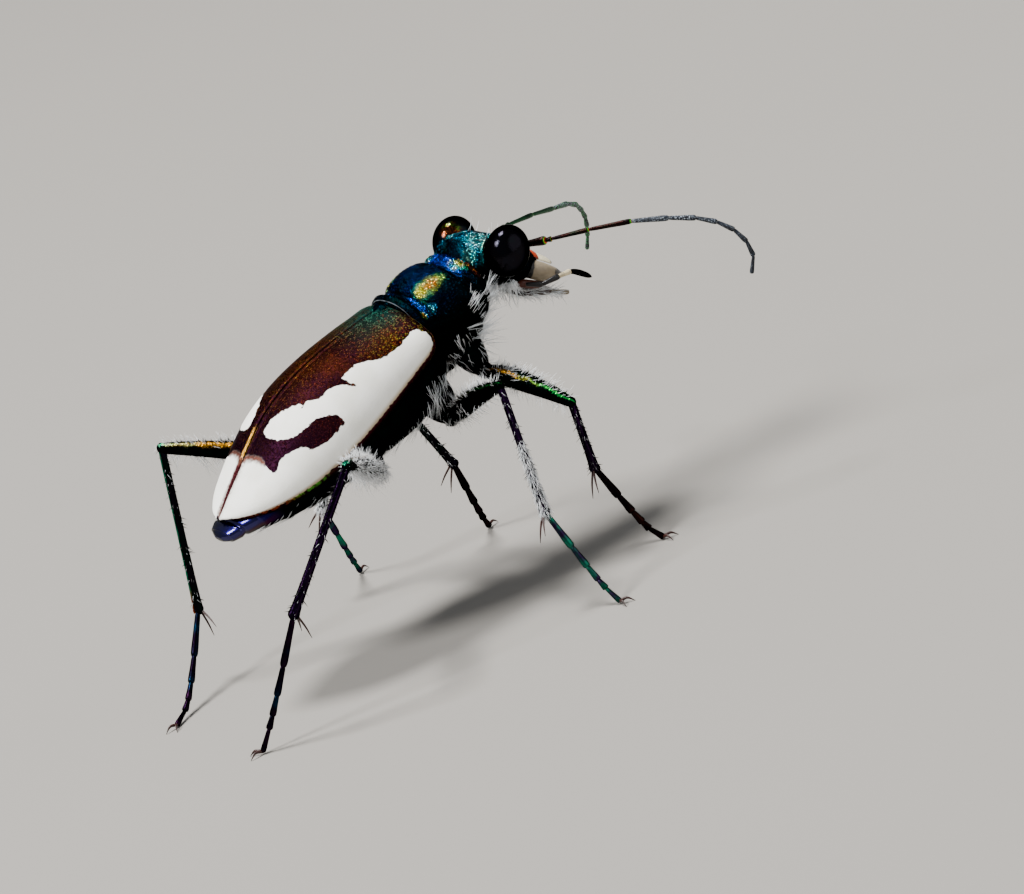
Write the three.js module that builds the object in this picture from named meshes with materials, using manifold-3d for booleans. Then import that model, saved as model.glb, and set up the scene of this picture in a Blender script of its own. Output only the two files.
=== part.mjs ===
// Tiger beetle, a still life-size figure in a tall walking stance.
// Millimetres. +X runs towards the head, +Y to the beetle's left, +Z up.
// The six feet stand on small flats at z = 0.
import * as THREE from 'three';
import { mergeVertices } from 'three/addons/utils/BufferGeometryUtils.js';
import Module from 'manifold-3d';

const wasm = await Module();
wasm.setup();

// Clearance between pieces that meet, small because the whole animal is only 12.5 mm long
const jointGap = 0.15;

// Body frame: its origin is the front end of the wing-case seam
const bodySpot = { x: -0.53, y: -0.05, z: 9.0 };
const bodyPitch = 21.4;
const bodyRoll = 4.3;

// Prothorax and head turn from the body frame
const prothoraxSpot = { x: 0.42, z: -0.04 };
const prothoraxDroop = 12;
const headSpot = { x: 3.65, z: -1.35 };
const headDroop = 50;
const headTurn = 4;
const headTilt = 2;

// Wing cases: distance from the seam's front end, half width, seam height, side height
const caseRows = [
  [0.34, 1.44, -0.18, -0.76],
  [0.22, 1.82, -0.06, -1.02],
  [-0.12, 2.00, 0.06, -1.18],
  [-1.00, 2.02, 0.28, -1.26],
  [-2.20, 2.12, 0.52, -1.28],
  [-3.40, 2.20, 0.62, -1.26],
  [-4.50, 2.18, 0.52, -1.20],
  [-5.40, 2.02, 0.26, -1.10],
  [-6.20, 1.70, -0.04, -0.95],
  [-6.80, 1.30, -0.26, -0.80],
  [-7.20, 0.84, -0.42, -0.68],
  [-7.40, 0.42, -0.50, -0.60],
];
const caseSquareness = 2.1;
const caseThickness = 0.5;
const caseSteps = 18;

// Hind body under the cases: distance, half width, top, bottom
const trunkRows = [
  [0.62, 1.02, -0.62, -2.20],
  [0.10, 1.45, -0.50, -2.72],
  [-0.60, 1.74, -0.40, -2.98],
  [-1.60, 1.86, -0.40, -3.04],
  [-2.80, 1.94, -0.40, -2.80],
  [-4.00, 1.98, -0.40, -2.52],
  [-5.20, 1.88, -0.45, -2.18],
  [-6.20, 1.56, -0.55, -1.82],
  [-7.00, 1.14, -0.66, -1.48],
  [-7.50, 0.74, -0.78, -1.26],
  [-7.84, 0.36, -0.86, -1.14],
];
const trunkSquareness = 2.5;
const trunkSteps = 18;
const waist = -2.85;

// Prothorax along its own axis: distance, half width, top, bottom
const prothoraxRows = [
  [0.00, 1.20, -0.04, -1.80],
  [0.16, 1.38, 0.08, -2.15],
  [0.38, 1.32, -0.04, -2.45],
  [0.72, 1.50, 0.14, -2.62],
  [1.25, 1.58, 0.20, -2.66],
  [1.70, 1.50, 0.12, -2.50],
  [1.98, 1.34, -0.05, -2.22],
  [2.22, 1.42, 0.04, -2.02],
  [2.50, 1.20, -0.12, -1.74],
];
const prothoraxSquareness = 2.3;
const prothoraxSteps = 18;

// Head along its own axis, from the middle of the eyes: distance, half width, top, bottom
const headRows = [
  [-1.16, 0.74, 0.22, -0.62],
  [-0.82, 0.94, 0.42, -0.84],
  [-0.36, 1.02, 0.54, -0.98],
  [0.14, 1.02, 0.58, -1.00],
  [0.62, 0.98, 0.50, -0.94],
  [1.08, 0.88, 0.32, -0.84],
  [1.46, 0.70, 0.12, -0.70],
];
const headSquareness = 2.4;
const headSteps = 12;
const eyeOffset = { x: -0.06, y: 1.34, z: 0.12 };
const eyeHalf = { x: 0.65, y: 0.64, z: 0.76 };

// Mouth parts in the head frame, listed for the left side
const labrumHalfWidth = 0.6;
const labrumLength = 0.55;
const labrumThickness = 0.28;
const labrumSpot = { x: 1.68, z: -0.05 };
const mandiblePath = [[1.38, 0.66, -0.42], [1.95, 0.73, -0.50], [2.45, 0.52, -0.54], [2.80, 0.10, -0.52]];
const mandibleRadii = [0.32, 0.27, 0.17, 0.06];
const maxillaryPath = [
  [1.00, 0.92, -0.84], [1.50, 1.20, -0.78], [2.15, 1.28, -0.40], [2.75, 1.14, -0.40], [3.26, 0.98, -0.50],
];
const maxillaryRadii = [0.22, 0.20, 0.20, 0.18, 0.10];
const labialPath = [[0.95, 0.30, -1.16], [1.45, 0.36, -1.20], [2.05, 0.44, -1.06], [2.85, 0.48, -1.03]];
const labialRadii = [0.22, 0.22, 0.21, 0.10];
const palpSides = 7;

// Feelers in the standing frame, root to tip
const feelerPaths = {
  right: [
    [4.26, -0.96, 8.93], [4.63, -1.58, 8.93], [5.63, -2.72, 8.91], [6.65, -3.52, 8.74],
    [8.09, -4.28, 8.18], [8.86, -4.69, 7.41], [9.03, -4.78, 6.58], [8.87, -4.62, 6.11],
  ],
  left: [
    [4.25, 0.62, 8.90], [4.60, 0.86, 9.12], [5.50, 1.24, 9.04], [6.48, 1.70, 8.76],
    [8.00, 2.82, 8.26], [8.70, 3.72, 7.48], [8.88, 4.30, 6.78], [8.86, 4.64, 6.25],
  ],
};
const feelerRadii = [0.25, 0.24, 0.22, 0.22, 0.21, 0.20, 0.16, 0.10];
const feelerSides = 7;

// Legs: hip in the body frame for the left side, then joints in the standing frame.
// The sag is how far the tarsus bends below a straight line to the toe.
const hips = {
  front: [1.01, 0.9, -3.4],
  middle: [-0.69, 1.0, -3.6],
  hind: [-3.45, 1.2, -2.88],
};
const coxaRadii = { front: [0.55, 0.55, 0.36], middle: [0.62, 0.62, 0.38], hind: [0.66, 0.6, 0.34] };
const coxaRise = { front: 1.5, middle: 1.5, hind: 1.3 };
const femurRadii = [0.24, 0.30, 0.31, 0.24];
const kneeRadius = 0.24;
const tibiaRadius = 0.23;
const tibiaRadii = [0.21, tibiaRadius, tibiaRadius];
const tarsusRadii = [0.21, 0.22, 0.21, 0.18];
const spurLength = 0.62;
const legJoints = {
  front_right: { knee: [2.76, -3.16, 4.82], ankle: [3.01, -2.55, 2.52], toe: [3.72, -3.72], sag: 0.26 },
  middle_right: { knee: [0.47, -3.95, 6.51], ankle: [-0.06, -4.88, 2.91], toe: [0.37, -6.51], sag: 0.20 },
  hind_right: { knee: [-5.09, -4.68, 6.81], ankle: [-7.86, -3.90, 3.50], toe: [-9.85, -2.95], sag: 0.06 },
  front_left: { knee: [0.81, 3.61, 5.00], ankle: [1.68, 3.57, 2.65], toe: [2.45, 4.46], sag: 0.20 },
  middle_left: { knee: [-0.32, 4.51, 6.11], ankle: [-2.13, 5.08, 2.88], toe: [-1.11, 6.52], sag: 0.12 },
  hind_left: { knee: [-6.49, 4.15, 7.11], ankle: [-7.28, 4.23, 2.24], toe: [-9.90, 2.45], sag: 0.30 },
};
const legSides = 8;
const domeAngle = THREE.MathUtils.degToRad(38);
const flatStart = { start: 'flat', end: 'round' };
const clawLength = 0.5;
const footHeight = 0.13;

// Surface colours, roughness and metalness
const finishes = {
  teal: [0x0f5a63, 0.35, 0.8],
  black: [0x0b0a0f, 0.35, 0.4],
  violet: [0x2a1433, 0.35, 0.6],
  maroon: [0x4a1a1c, 0.5, 0.5],
  ivory: [0xe6dfc8, 0.55, 0.0],
  eye: [0x141013, 0.15, 0.1],
};

const rad = THREE.MathUtils.degToRad;

function solidOf(geometry) {
  const bare = geometry.clone();
  bare.deleteAttribute('normal');
  bare.deleteAttribute('uv');
  const welded = mergeVertices(bare, 1e-5);
  return new wasm.Manifold(new wasm.Mesh({
    numProp: 3,
    vertProperties: new Float32Array(welded.attributes.position.array),
    triVerts: new Uint32Array(welded.index.array),
  }));
}

function geometryOf(solid) {
  const mesh = solid.getMesh();
  const geometry = new THREE.BufferGeometry();
  geometry.setAttribute('position', new THREE.BufferAttribute(mesh.vertProperties, 3));
  geometry.setIndex(new THREE.BufferAttribute(mesh.triVerts, 1));
  geometry.computeVertexNormals();
  return geometry;
}

// The one closed surface of a piece that holds the most
function largest(solid) {
  const parts = solid.decompose();
  parts.sort((a, b) => b.volume() - a.volume());
  return parts[0];
}

function finish(name) {
  const [color, roughness, metalness] = finishes[name];
  return new THREE.MeshStandardMaterial({ color, roughness, metalness });
}

function addPiece(group, name, solid, finishName) {
  const mesh = new THREE.Mesh(geometryOf(largest(solid)), finish(finishName));
  mesh.name = name;
  group.add(mesh);
}

// A closed skin over rings of equal point count, closed by a fan at each end
function skin(rings) {
  const count = rings[0].length;
  const positions = [];
  const triangles = [];
  rings.forEach((ring) => ring.forEach((p) => positions.push(p.x, p.y, p.z)));
  for (let i = 0; i + 1 < rings.length; i += 1) {
    for (let j = 0; j < count; j += 1) {
      const k = (j + 1) % count;
      const a = i * count;
      const b = a + count;
      triangles.push(a + j, a + k, b + k, a + j, b + k, b + j);
    }
  }
  [0, rings.length - 1].forEach((i) => {
    const middle = new THREE.Vector3();
    rings[i].forEach((p) => middle.add(p));
    middle.divideScalar(count);
    const hub = positions.length / 3;
    positions.push(middle.x, middle.y, middle.z);
    for (let j = 0; j < count; j += 1) {
      const a = i * count + j;
      const b = i * count + (j + 1) % count;
      triangles.push(...(i === 0 ? [hub, b, a] : [hub, a, b]));
    }
  });
  const geometry = new THREE.BufferGeometry();
  geometry.setAttribute('position', new THREE.Float32BufferAttribute(positions, 3));
  geometry.setIndex(triangles);
  return facingOut(geometry);
}

// Turns every triangle round when the skin encloses a negative volume
function facingOut(geometry) {
  const p = geometry.attributes.position;
  const index = geometry.index.array;
  const [a, b, c] = [new THREE.Vector3(), new THREE.Vector3(), new THREE.Vector3()];
  let volume = 0;
  for (let i = 0; i < index.length; i += 3) {
    a.fromBufferAttribute(p, index[i]);
    b.fromBufferAttribute(p, index[i + 1]);
    c.fromBufferAttribute(p, index[i + 2]);
    volume += a.dot(b.cross(c));
  }
  if (volume < 0) {
    for (let i = 0; i < index.length; i += 3) {
      [index[i], index[i + 1]] = [index[i + 1], index[i]];
    }
  }
  return geometry;
}

// Rows of numbers read at even steps along smooth curves through each column
function smoothRows(rows, steps) {
  const columns = rows[0].map((_, c) => {
    const knots = rows.map((row, i) => new THREE.Vector2(i, row[c]));
    return new THREE.SplineCurve(knots);
  });
  return Array.from({ length: steps + 1 }, (_, i) => columns.map((curve) => curve.getPoint(i / steps).y));
}

function squared(value, squareness) {
  return Math.sign(value) * Math.abs(value) ** (2 / squareness);
}

// A body form along X with rounded-square sections, made larger all round by grow
function bodyForm(rows, steps, squareness, points, grow = 0) {
  const sections = smoothRows(rows, steps);
  const last = sections.length - 1;
  const rings = sections.map(([x, halfWidth, top, bottom], i) => {
    const middle = (top + bottom) / 2;
    const halfHeight = (top - bottom) / 2 + grow;
    const away = Math.sign(sections[last][0] - sections[0][0]) * grow;
    const shift = i === 0 ? -away : i === last ? away : 0;
    return Array.from({ length: points }, (_, j) => {
      const angle = (j / points) * 2 * Math.PI;
      return new THREE.Vector3(
        x + shift,
        squared(Math.cos(angle), squareness) * (halfWidth + grow),
        middle + squared(Math.sin(angle), squareness) * halfHeight,
      );
    });
  });
  return skin(rings);
}

// Both wing cases as one domed block with a flat underside at the side edges
function caseForm(grow = 0) {
  const sections = smoothRows(caseRows, caseSteps);
  const last = sections.length - 1;
  const arc = 16;
  const rings = sections.map(([x, halfWidth, top, side], i) => {
    const shift = i === 0 ? grow : i === last ? -grow : 0;
    const rise = Math.max(top - side, 0.08) + 2 * grow;
    return Array.from({ length: arc + 1 }, (_, j) => {
      const angle = (j / arc) * Math.PI;
      return new THREE.Vector3(
        x + shift,
        squared(Math.cos(angle), caseSquareness) * (halfWidth + grow),
        side - grow + squared(Math.sin(angle), caseSquareness) * rise,
      );
    });
  });
  return skin(rings);
}

// The trunk's upper part, which the wing cases cover at an even thickness
function coveredCore(grow = 0) {
  const inset = caseThickness + jointGap - grow;
  const sections = smoothRows(caseRows, caseSteps).filter(([x, halfWidth]) => x < -0.2 && halfWidth > 0.9);
  const arc = 14;
  const rings = sections.map(([x, halfWidth, top, side]) => {
    const rise = Math.max(top - side - inset, 0.06);
    const foot = side - 0.45;
    return Array.from({ length: arc + 1 }, (_, j) => {
      const angle = (j / arc) * Math.PI;
      const up = squared(Math.sin(angle), caseSquareness) * rise;
      return new THREE.Vector3(
        x,
        squared(Math.cos(angle), caseSquareness) * (halfWidth - inset),
        j === 0 || j === arc ? foot : side + up,
      );
    });
  });
  return skin(rings);
}

function boxSolid(low, high) {
  const box = new THREE.BoxGeometry(high[0] - low[0], high[1] - low[1], high[2] - low[2]);
  box.translate((high[0] + low[0]) / 2, (high[1] + low[1]) / 2, (high[2] + low[2]) / 2);
  return solidOf(box);
}

function lerpList(values, u) {
  const spot = u * (values.length - 1);
  const i = Math.min(Math.floor(spot), values.length - 2);
  return values[i] + (values[i + 1] - values[i]) * (spot - i);
}

// A limb along a smooth path, with a radius at each path point and round or flat ends
function limb(points, radii, sides, steps, ends = { start: 'round', end: 'round' }) {
  const curve = new THREE.CatmullRomCurve3(points, false, 'centripetal');
  const frames = curve.computeFrenetFrames(steps, false);
  const rings = [];
  const addRing = (middle, i, radius) => {
    rings.push(Array.from({ length: sides }, (_, j) => {
      const angle = (j / sides) * 2 * Math.PI;
      return middle.clone()
        .addScaledVector(frames.normals[i], Math.cos(angle) * radius)
        .addScaledVector(frames.binormals[i], Math.sin(angle) * radius);
    }));
  };
  if (ends.start === 'round') {
    const root = points[0];
    const r = radii[0];
    const back = frames.tangents[0].clone().multiplyScalar(-r * Math.cos(domeAngle));
    addRing(root.clone().add(back), 0, r * Math.sin(domeAngle));
  }
  for (let i = 0; i <= steps; i += 1) {
    addRing(curve.getPointAt(i / steps), i, lerpList(radii, i / steps));
  }
  if (ends.end === 'round') {
    const tip = points[points.length - 1];
    const r = radii[radii.length - 1];
    const ahead = frames.tangents[steps].clone().multiplyScalar(r * Math.cos(domeAngle));
    addRing(tip.clone().add(ahead), steps, r * Math.sin(domeAngle));
  }
  return skin(rings);
}

function vectors(rows, side = 1) {
  return rows.map(([x, y, z]) => new THREE.Vector3(x, y * side, z));
}

function turnedGroup(spot, droop, turn, tilt) {
  const group = new THREE.Group();
  group.position.set(spot.x, spot.y ?? 0, spot.z);
  group.rotation.order = 'ZYX';
  group.rotation.set(rad(tilt), rad(droop), rad(turn));
  return group;
}

// Geometry of one group seen from another group
function seenFrom(geometry, from, to) {
  const matrix = to.matrixWorld.clone().invert().multiply(from.matrixWorld);
  return geometry.clone().applyMatrix4(matrix);
}

const figure = new THREE.Group();
const body = turnedGroup(bodySpot, -bodyPitch, 0, bodyRoll);
const prothorax = turnedGroup(prothoraxSpot, prothoraxDroop, 0, 0);
const head = turnedGroup(headSpot, headDroop, headTurn, headTilt);
figure.add(body);
body.add(prothorax);
body.add(head);
figure.updateMatrixWorld(true);

const trunkForm = (grow) => bodyForm(trunkRows, trunkSteps, trunkSquareness, 20, grow);
const prothoraxForm = (grow) => bodyForm(prothoraxRows, prothoraxSteps, prothoraxSquareness, 20, grow);
const headForm = (grow) => bodyForm(headRows, headSteps, headSquareness, 20, grow);

function scutellumSolid(grow = 0) {
  const half = 0.3 + grow;
  const shape = new THREE.Shape([
    new THREE.Vector2(0.2 + grow, half),
    new THREE.Vector2(-0.45 - 2 * grow, 0),
    new THREE.Vector2(0.2 + grow, -half),
  ]);
  const plate = new THREE.ExtrudeGeometry(shape, { depth: 0.5 + 2 * grow, bevelEnabled: false });
  plate.translate(0, 0, -0.46 - grow);
  return solidOf(plate);
}

function addTrunk() {
  const neckCut = solidOf(seenFrom(prothoraxForm(jointGap), prothorax, body));
  const core = solidOf(trunkForm(0))
    .subtract(solidOf(caseForm(jointGap)))
    .add(solidOf(coveredCore(0)))
    .subtract(scutellumSolid(jointGap))
    .subtract(neckCut);
  const far = 12;
  const ahead = boxSolid([waist + jointGap / 2, -far, -far], [far, far, far]);
  const behind = boxSolid([-far, -far, -far], [waist - jointGap / 2, far, far]);
  addPiece(body, 'pterothorax', core.intersect(ahead), 'black');
  addPiece(body, 'abdomen', core.intersect(behind), 'violet');

  const cases = solidOf(caseForm())
    .subtract(solidOf(coveredCore(jointGap)))
    .subtract(scutellumSolid(jointGap))
    .subtract(neckCut);
  const seam = jointGap / 2;
  const leftHalf = boxSolid([-far, seam, -far], [far, far, far]);
  const rightHalf = boxSolid([-far, -far, -far], [far, -seam, far]);
  addPiece(body, 'elytron_left', cases.intersect(leftHalf), 'maroon');
  addPiece(body, 'elytron_right', cases.intersect(rightHalf), 'maroon');
  addPiece(body, 'scutellum', scutellumSolid().subtract(neckCut), 'teal');
}

function eyeForm(side, grow = 0) {
  const ball = new THREE.SphereGeometry(1, 14, 10);
  ball.scale(eyeHalf.x + grow, eyeHalf.y + grow, eyeHalf.z + grow);
  ball.translate(eyeOffset.x, side * eyeOffset.y, eyeOffset.z);
  return ball;
}

function labrumForm() {
  const { x, z } = labrumSpot;
  const rows = [
    [x, labrumHalfWidth * 0.9, z + labrumThickness * 0.5, z - labrumThickness * 0.5],
    [x + labrumLength * 0.5, labrumHalfWidth, z + labrumThickness * 0.4, z - labrumThickness * 0.5],
    [x + labrumLength, labrumHalfWidth * 0.55, z, z - labrumThickness * 0.6],
  ];
  return bodyForm(rows, 4, 3, 14);
}

function addHead() {
  const neckCut = solidOf(seenFrom(prothoraxForm(jointGap), prothorax, head));
  addPiece(head, 'head', solidOf(headForm(0)).subtract(neckCut), 'teal');
  const clear = solidOf(headForm(jointGap));
  addPiece(head, 'labrum', solidOf(labrumForm()).subtract(clear), 'ivory');
  [['left', 1], ['right', -1]].forEach(([sideName, side]) => {
    addPiece(head, `eye_${sideName}`, solidOf(eyeForm(side)).subtract(clear).subtract(neckCut), 'eye');
    const palp = (rows, radii) => solidOf(limb(vectors(rows, side), radii, palpSides, 7)).subtract(clear);
    addPiece(head, `mandible_${sideName}`, palp(mandiblePath, mandibleRadii), 'ivory');
    addPiece(head, `maxillary_palp_${sideName}`, palp(maxillaryPath, maxillaryRadii), 'ivory');
    addPiece(head, `labial_palp_${sideName}`, palp(labialPath, labialRadii), 'ivory');
  });
}

function addFeelers() {
  const clearances = [
    solidOf(seenFrom(headForm(jointGap), head, figure)),
    solidOf(seenFrom(eyeForm(1, jointGap), head, figure)),
    solidOf(seenFrom(eyeForm(-1, jointGap), head, figure)),
  ];
  Object.entries(feelerPaths).forEach(([sideName, rows]) => {
    const feeler = solidOf(limb(vectors(rows), feelerRadii, feelerSides, 18));
    const trimmed = clearances.reduce((rest, cut) => rest.subtract(cut), feeler);
    addPiece(figure, `antenna_${sideName}`, trimmed, 'black');
  });
}

function spurSolids(ankle, along, pair) {
  const aside = new THREE.Vector3(pair === 'hind' ? 1 : -1, 0, 0);
  aside.addScaledVector(along, -aside.dot(along)).normalize();
  const across = new THREE.Vector3().crossVectors(along, aside);
  return [-1, 1].map((way) => {
    const lean = aside.clone().addScaledVector(across, 0.45 * way).normalize();
    const direction = along.clone().multiplyScalar(0.72).addScaledVector(lean, 0.7).normalize();
    const root = ankle.clone().addScaledVector(lean, 0.1);
    const tip = root.clone().addScaledVector(direction, spurLength + tibiaRadius);
    return solidOf(limb([root, tip], [0.1, 0.03], 5, 2));
  });
}

function tarsusSolid(ankle, along, toeSpot, sag) {
  const start = ankle.clone().addScaledVector(along, tibiaRadius + jointGap);
  const toe = new THREE.Vector3(toeSpot[0], toeSpot[1], footHeight);
  const sagPoint = (u, drop) => start.clone().lerp(toe, u).add(new THREE.Vector3(0, 0, -drop));
  const path = [start, sagPoint(0.42, sag), sagPoint(0.74, sag * 1.15), toe];
  const flat = new THREE.Vector3(toe.x - start.x, toe.y - start.y, 0).normalize();
  const claws = [-1, 1].map((way) => {
    const direction = flat.clone().applyAxisAngle(new THREE.Vector3(0, 0, 1), rad(24 * way));
    const arch = toe.clone().addScaledVector(direction, clawLength * 0.55);
    const tip = toe.clone().addScaledVector(direction, clawLength * 1.2);
    arch.z += 0.06;
    tip.z = 0.05;
    return solidOf(limb([toe, arch, tip], [0.1, 0.09, 0.04], 5, 3));
  });
  const floorBlock = boxSolid([-20, -20, -2], [20, 20, 0]);
  const stem = solidOf(limb(path, tarsusRadii, legSides, 9, flatStart));
  return claws.reduce((whole, claw) => whole.add(claw), stem).subtract(floorBlock);
}

function addLeg(name, joints) {
  const [pair, sideName] = name.split('_');
  const side = sideName === 'left' ? 1 : -1;
  const [hipX, hipY, hipZ] = hips[pair];
  const hip = body.localToWorld(new THREE.Vector3(hipX, side * hipY, hipZ));
  const root = body.localToWorld(new THREE.Vector3(hipX + 0.1, side * hipY * 0.8, hipZ + coxaRise[pair]));
  const knee = new THREE.Vector3(...joints.knee);
  const ankle = new THREE.Vector3(...joints.ankle);
  const toe = new THREE.Vector3(joints.toe[0], joints.toe[1], footHeight);
  const thigh = new THREE.Vector3().subVectors(knee, hip).normalize();
  const shin = new THREE.Vector3().subVectors(ankle, knee).normalize();
  const foot = new THREE.Vector3().subVectors(toe, ankle).normalize();

  const hipMiddle = root.clone().lerp(hip, 0.5);
  const coxa = solidOf(limb([root, hipMiddle, hip], coxaRadii[pair], 10, 3))
    .subtract(solidOf(seenFrom(trunkForm(jointGap), body, figure)))
    .subtract(solidOf(seenFrom(prothoraxForm(jointGap), prothorax, figure)));
  addPiece(figure, `coxa_${name}`, coxa, 'black');

  const femurStart = hip.clone().addScaledVector(thigh, coxaRadii[pair][2] + jointGap);
  const femurPath = [0, 0.33, 0.66, 1].map((u) => femurStart.clone().lerp(knee, u));
  const femur = solidOf(limb(femurPath, femurRadii, legSides, 7, flatStart));
  addPiece(figure, `femur_${name}`, femur, 'black');

  const shinStart = knee.clone().addScaledVector(shin, kneeRadius + jointGap);
  const shaft = solidOf(limb([shinStart, ankle], tibiaRadii, legSides, 5, flatStart));
  const tibia = spurSolids(ankle, foot, pair).reduce((whole, spur) => whole.add(spur), shaft);
  addPiece(figure, `tibia_${name}`, tibia, 'violet');

  addPiece(figure, `tarsus_${name}`, tarsusSolid(ankle, foot, joints.toe, joints.sag), 'violet');
}

// Centres the figure over the origin
function centreFigure() {
  const box = new THREE.Box3().setFromObject(figure, true);
  figure.position.set(-(box.min.x + box.max.x) / 2, -(box.min.y + box.max.y) / 2, 0);
  figure.updateMatrixWorld(true);
}

addTrunk();
addPiece(prothorax, 'prothorax', solidOf(prothoraxForm(0)), 'teal');
addHead();
addFeelers();
Object.entries(legJoints).forEach(([name, joints]) => addLeg(name, joints));
centreFigure();

export default figure;
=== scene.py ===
from math import cos, pi, radians, sin

import bpy
import numpy as np
from mathutils import Euler, Matrix, Vector


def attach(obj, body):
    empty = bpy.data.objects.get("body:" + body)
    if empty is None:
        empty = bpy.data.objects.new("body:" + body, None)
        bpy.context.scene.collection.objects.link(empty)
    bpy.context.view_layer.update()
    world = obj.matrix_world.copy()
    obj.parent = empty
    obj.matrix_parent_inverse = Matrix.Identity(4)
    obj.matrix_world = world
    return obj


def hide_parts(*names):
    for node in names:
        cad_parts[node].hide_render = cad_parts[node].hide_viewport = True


# Tiger beetle, life size. Lists of sizes are in millimetres and become metres when a mesh is made.
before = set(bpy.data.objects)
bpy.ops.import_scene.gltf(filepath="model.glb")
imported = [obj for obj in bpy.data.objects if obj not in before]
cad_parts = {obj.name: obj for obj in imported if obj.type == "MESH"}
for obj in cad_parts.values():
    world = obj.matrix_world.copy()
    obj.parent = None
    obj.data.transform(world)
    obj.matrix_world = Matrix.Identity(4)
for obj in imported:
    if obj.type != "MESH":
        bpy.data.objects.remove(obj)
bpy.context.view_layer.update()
toMetres = 0.001

# Camera. Angles are in degrees, the aim is a spot on the beetle and aimPixel its place in the picture.
camera = {
    "distance": 150.0,
    "pixelsPerMm": 35.0,
    "elevation": 15.16,
    "bearing": -114.38,
    "roll": 21.1,
    "aim": (0.6868, -0.0037, 8.52),
    "aimPixel": (395, 318),
    "imageSize": (1024, 894),
    "sensor": 36.0,
    "clip": (0.004, 4.0),
}


def placeCamera(c):
    up, around = radians(c["elevation"]), radians(c["bearing"])
    back = Vector((cos(up) * cos(around), cos(up) * sin(around), sin(up)))
    level = Vector((-sin(around), cos(around), 0))
    upright = back.cross(level)
    roll = radians(c["roll"])
    right = level * cos(roll) - upright * sin(roll)
    top = level * sin(roll) + upright * cos(roll)
    focal = c["distance"] * c["pixelsPerMm"]
    width, height = c["imageSize"]
    toAim = Vector(((c["aimPixel"][0] - width / 2) / focal, (height / 2 - c["aimPixel"][1]) / focal, -1))
    axes = Matrix((right, top, back)).transposed()
    lean = Vector((0, 0, -1)).rotation_difference(toAim.normalized()).to_matrix()
    data = bpy.data.cameras.new("camera")
    data.sensor_width = c["sensor"]
    data.lens = c["sensor"] * focal / width
    data.clip_start, data.clip_end = c["clip"]
    made = bpy.data.objects.new("camera", data)
    bpy.context.scene.collection.objects.link(made)
    stand = (Vector(c["aim"]) + back * c["distance"]) * toMetres
    made.matrix_world = Matrix.Translation(stand) @ (axes @ lean.transposed()).to_4x4()
    bpy.context.scene.camera = made
    return right, top, back


viewRight, viewTop, viewBack = placeCamera(camera)
print("camera placed")

# Frames of body, prothorax and head, the same as in the solids. The last two stand in the body's frame.
frames = {
    "shift": (0.6868, -0.0037, 0.0),
    "body": {"spot": (-0.53, -0.05, 9.0), "tilt": 4.3, "droop": -21.4},
    "prothorax": {"spot": (0.42, 0, -0.04), "droop": 12},
    "head": {"spot": (3.65, 0, -1.35), "tilt": 2, "droop": 50, "turn": 4},
}
shift = frames["shift"]


def frameAt(spot, tilt=0, droop=0, turn=0):
    turned = Euler((radians(tilt), radians(droop), radians(turn))).to_matrix().to_4x4()
    return np.array(Matrix.Translation(spot) @ turned)


body = np.array(Matrix.Translation(shift)) @ frameAt(**frames["body"])
prothorax = body @ frameAt(**frames["prothorax"])
head = body @ frameAt(**frames["head"])
bothSides = {"left": 1, "right": -1}


def moved(points, matrix):
    points = np.asarray(points, float)
    return points @ matrix[:3, :3].T + matrix[:3, 3]


# Small tools for shapes
def smoothRows(rows, steps):
    knots = np.array(rows, float)
    last = len(knots) - 1
    spots = np.linspace(0, last, steps + 1)
    k = np.minimum(spots.astype(int), last)
    w = (spots - k)[:, None]
    p0, p1, p2, p3 = (knots[np.clip(k + d, 0, last)] for d in (-1, 0, 1, 2))
    v0, v1 = (p2 - p0) / 2, (p3 - p1) / 2
    return (2 * p1 - 2 * p2 + v0 + v1) * w**3 + (3 * p2 - 3 * p1 - 2 * v0 - v1) * w**2 + v0 * w + p1


def squared(value, squareness):
    return np.sign(value) * np.abs(value) ** (2 / squareness)


def bump(value, middle, width):
    return np.exp(-(((value - middle) / width) ** 2))


def step(value, start, end):
    t = np.clip((value - start) / (end - start), 0, 1)
    return t * t * (3 - 2 * t)


# A tube of rounded-square sections: distance, half width, top, bottom
def loft(rows, steps, squareness, points):
    sections = smoothRows(rows, steps)
    angle = np.linspace(0, 2 * pi, points, endpoint=False)
    middle = (sections[:, 2] + sections[:, 3]) / 2
    half = (sections[:, 2] - sections[:, 3]) / 2
    x = np.repeat(sections[:, :1], points, 1)
    y = sections[:, 1:2] * squared(np.cos(angle), squareness)[None]
    z = middle[:, None] + half[:, None] * squared(np.sin(angle), squareness)[None]
    return np.stack([x, y, z], -1)


def gridNormals(grid, wrap=True):
    along = np.gradient(grid, axis=0)
    if wrap:
        across = np.roll(grid, -1, 1) - np.roll(grid, 1, 1)
    else:
        across = np.gradient(grid, axis=1)
    normal = np.cross(along, across)
    normal /= np.maximum(np.linalg.norm(normal, axis=-1, keepdims=True), 1e-12)
    middle = grid.mean(1, keepdims=True)
    if ((grid - middle) * normal).sum() < 0:
        normal = -normal
    return normal


# A body skin: a loft raised or sunk by relief(x, y, z)
def carved(c, relief):
    grid = loft(c["rows"], c["steps"], c["squareness"], c["points"])
    return grid + gridNormals(grid) * relief(*np.moveaxis(grid, -1, 0))[..., None]


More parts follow.
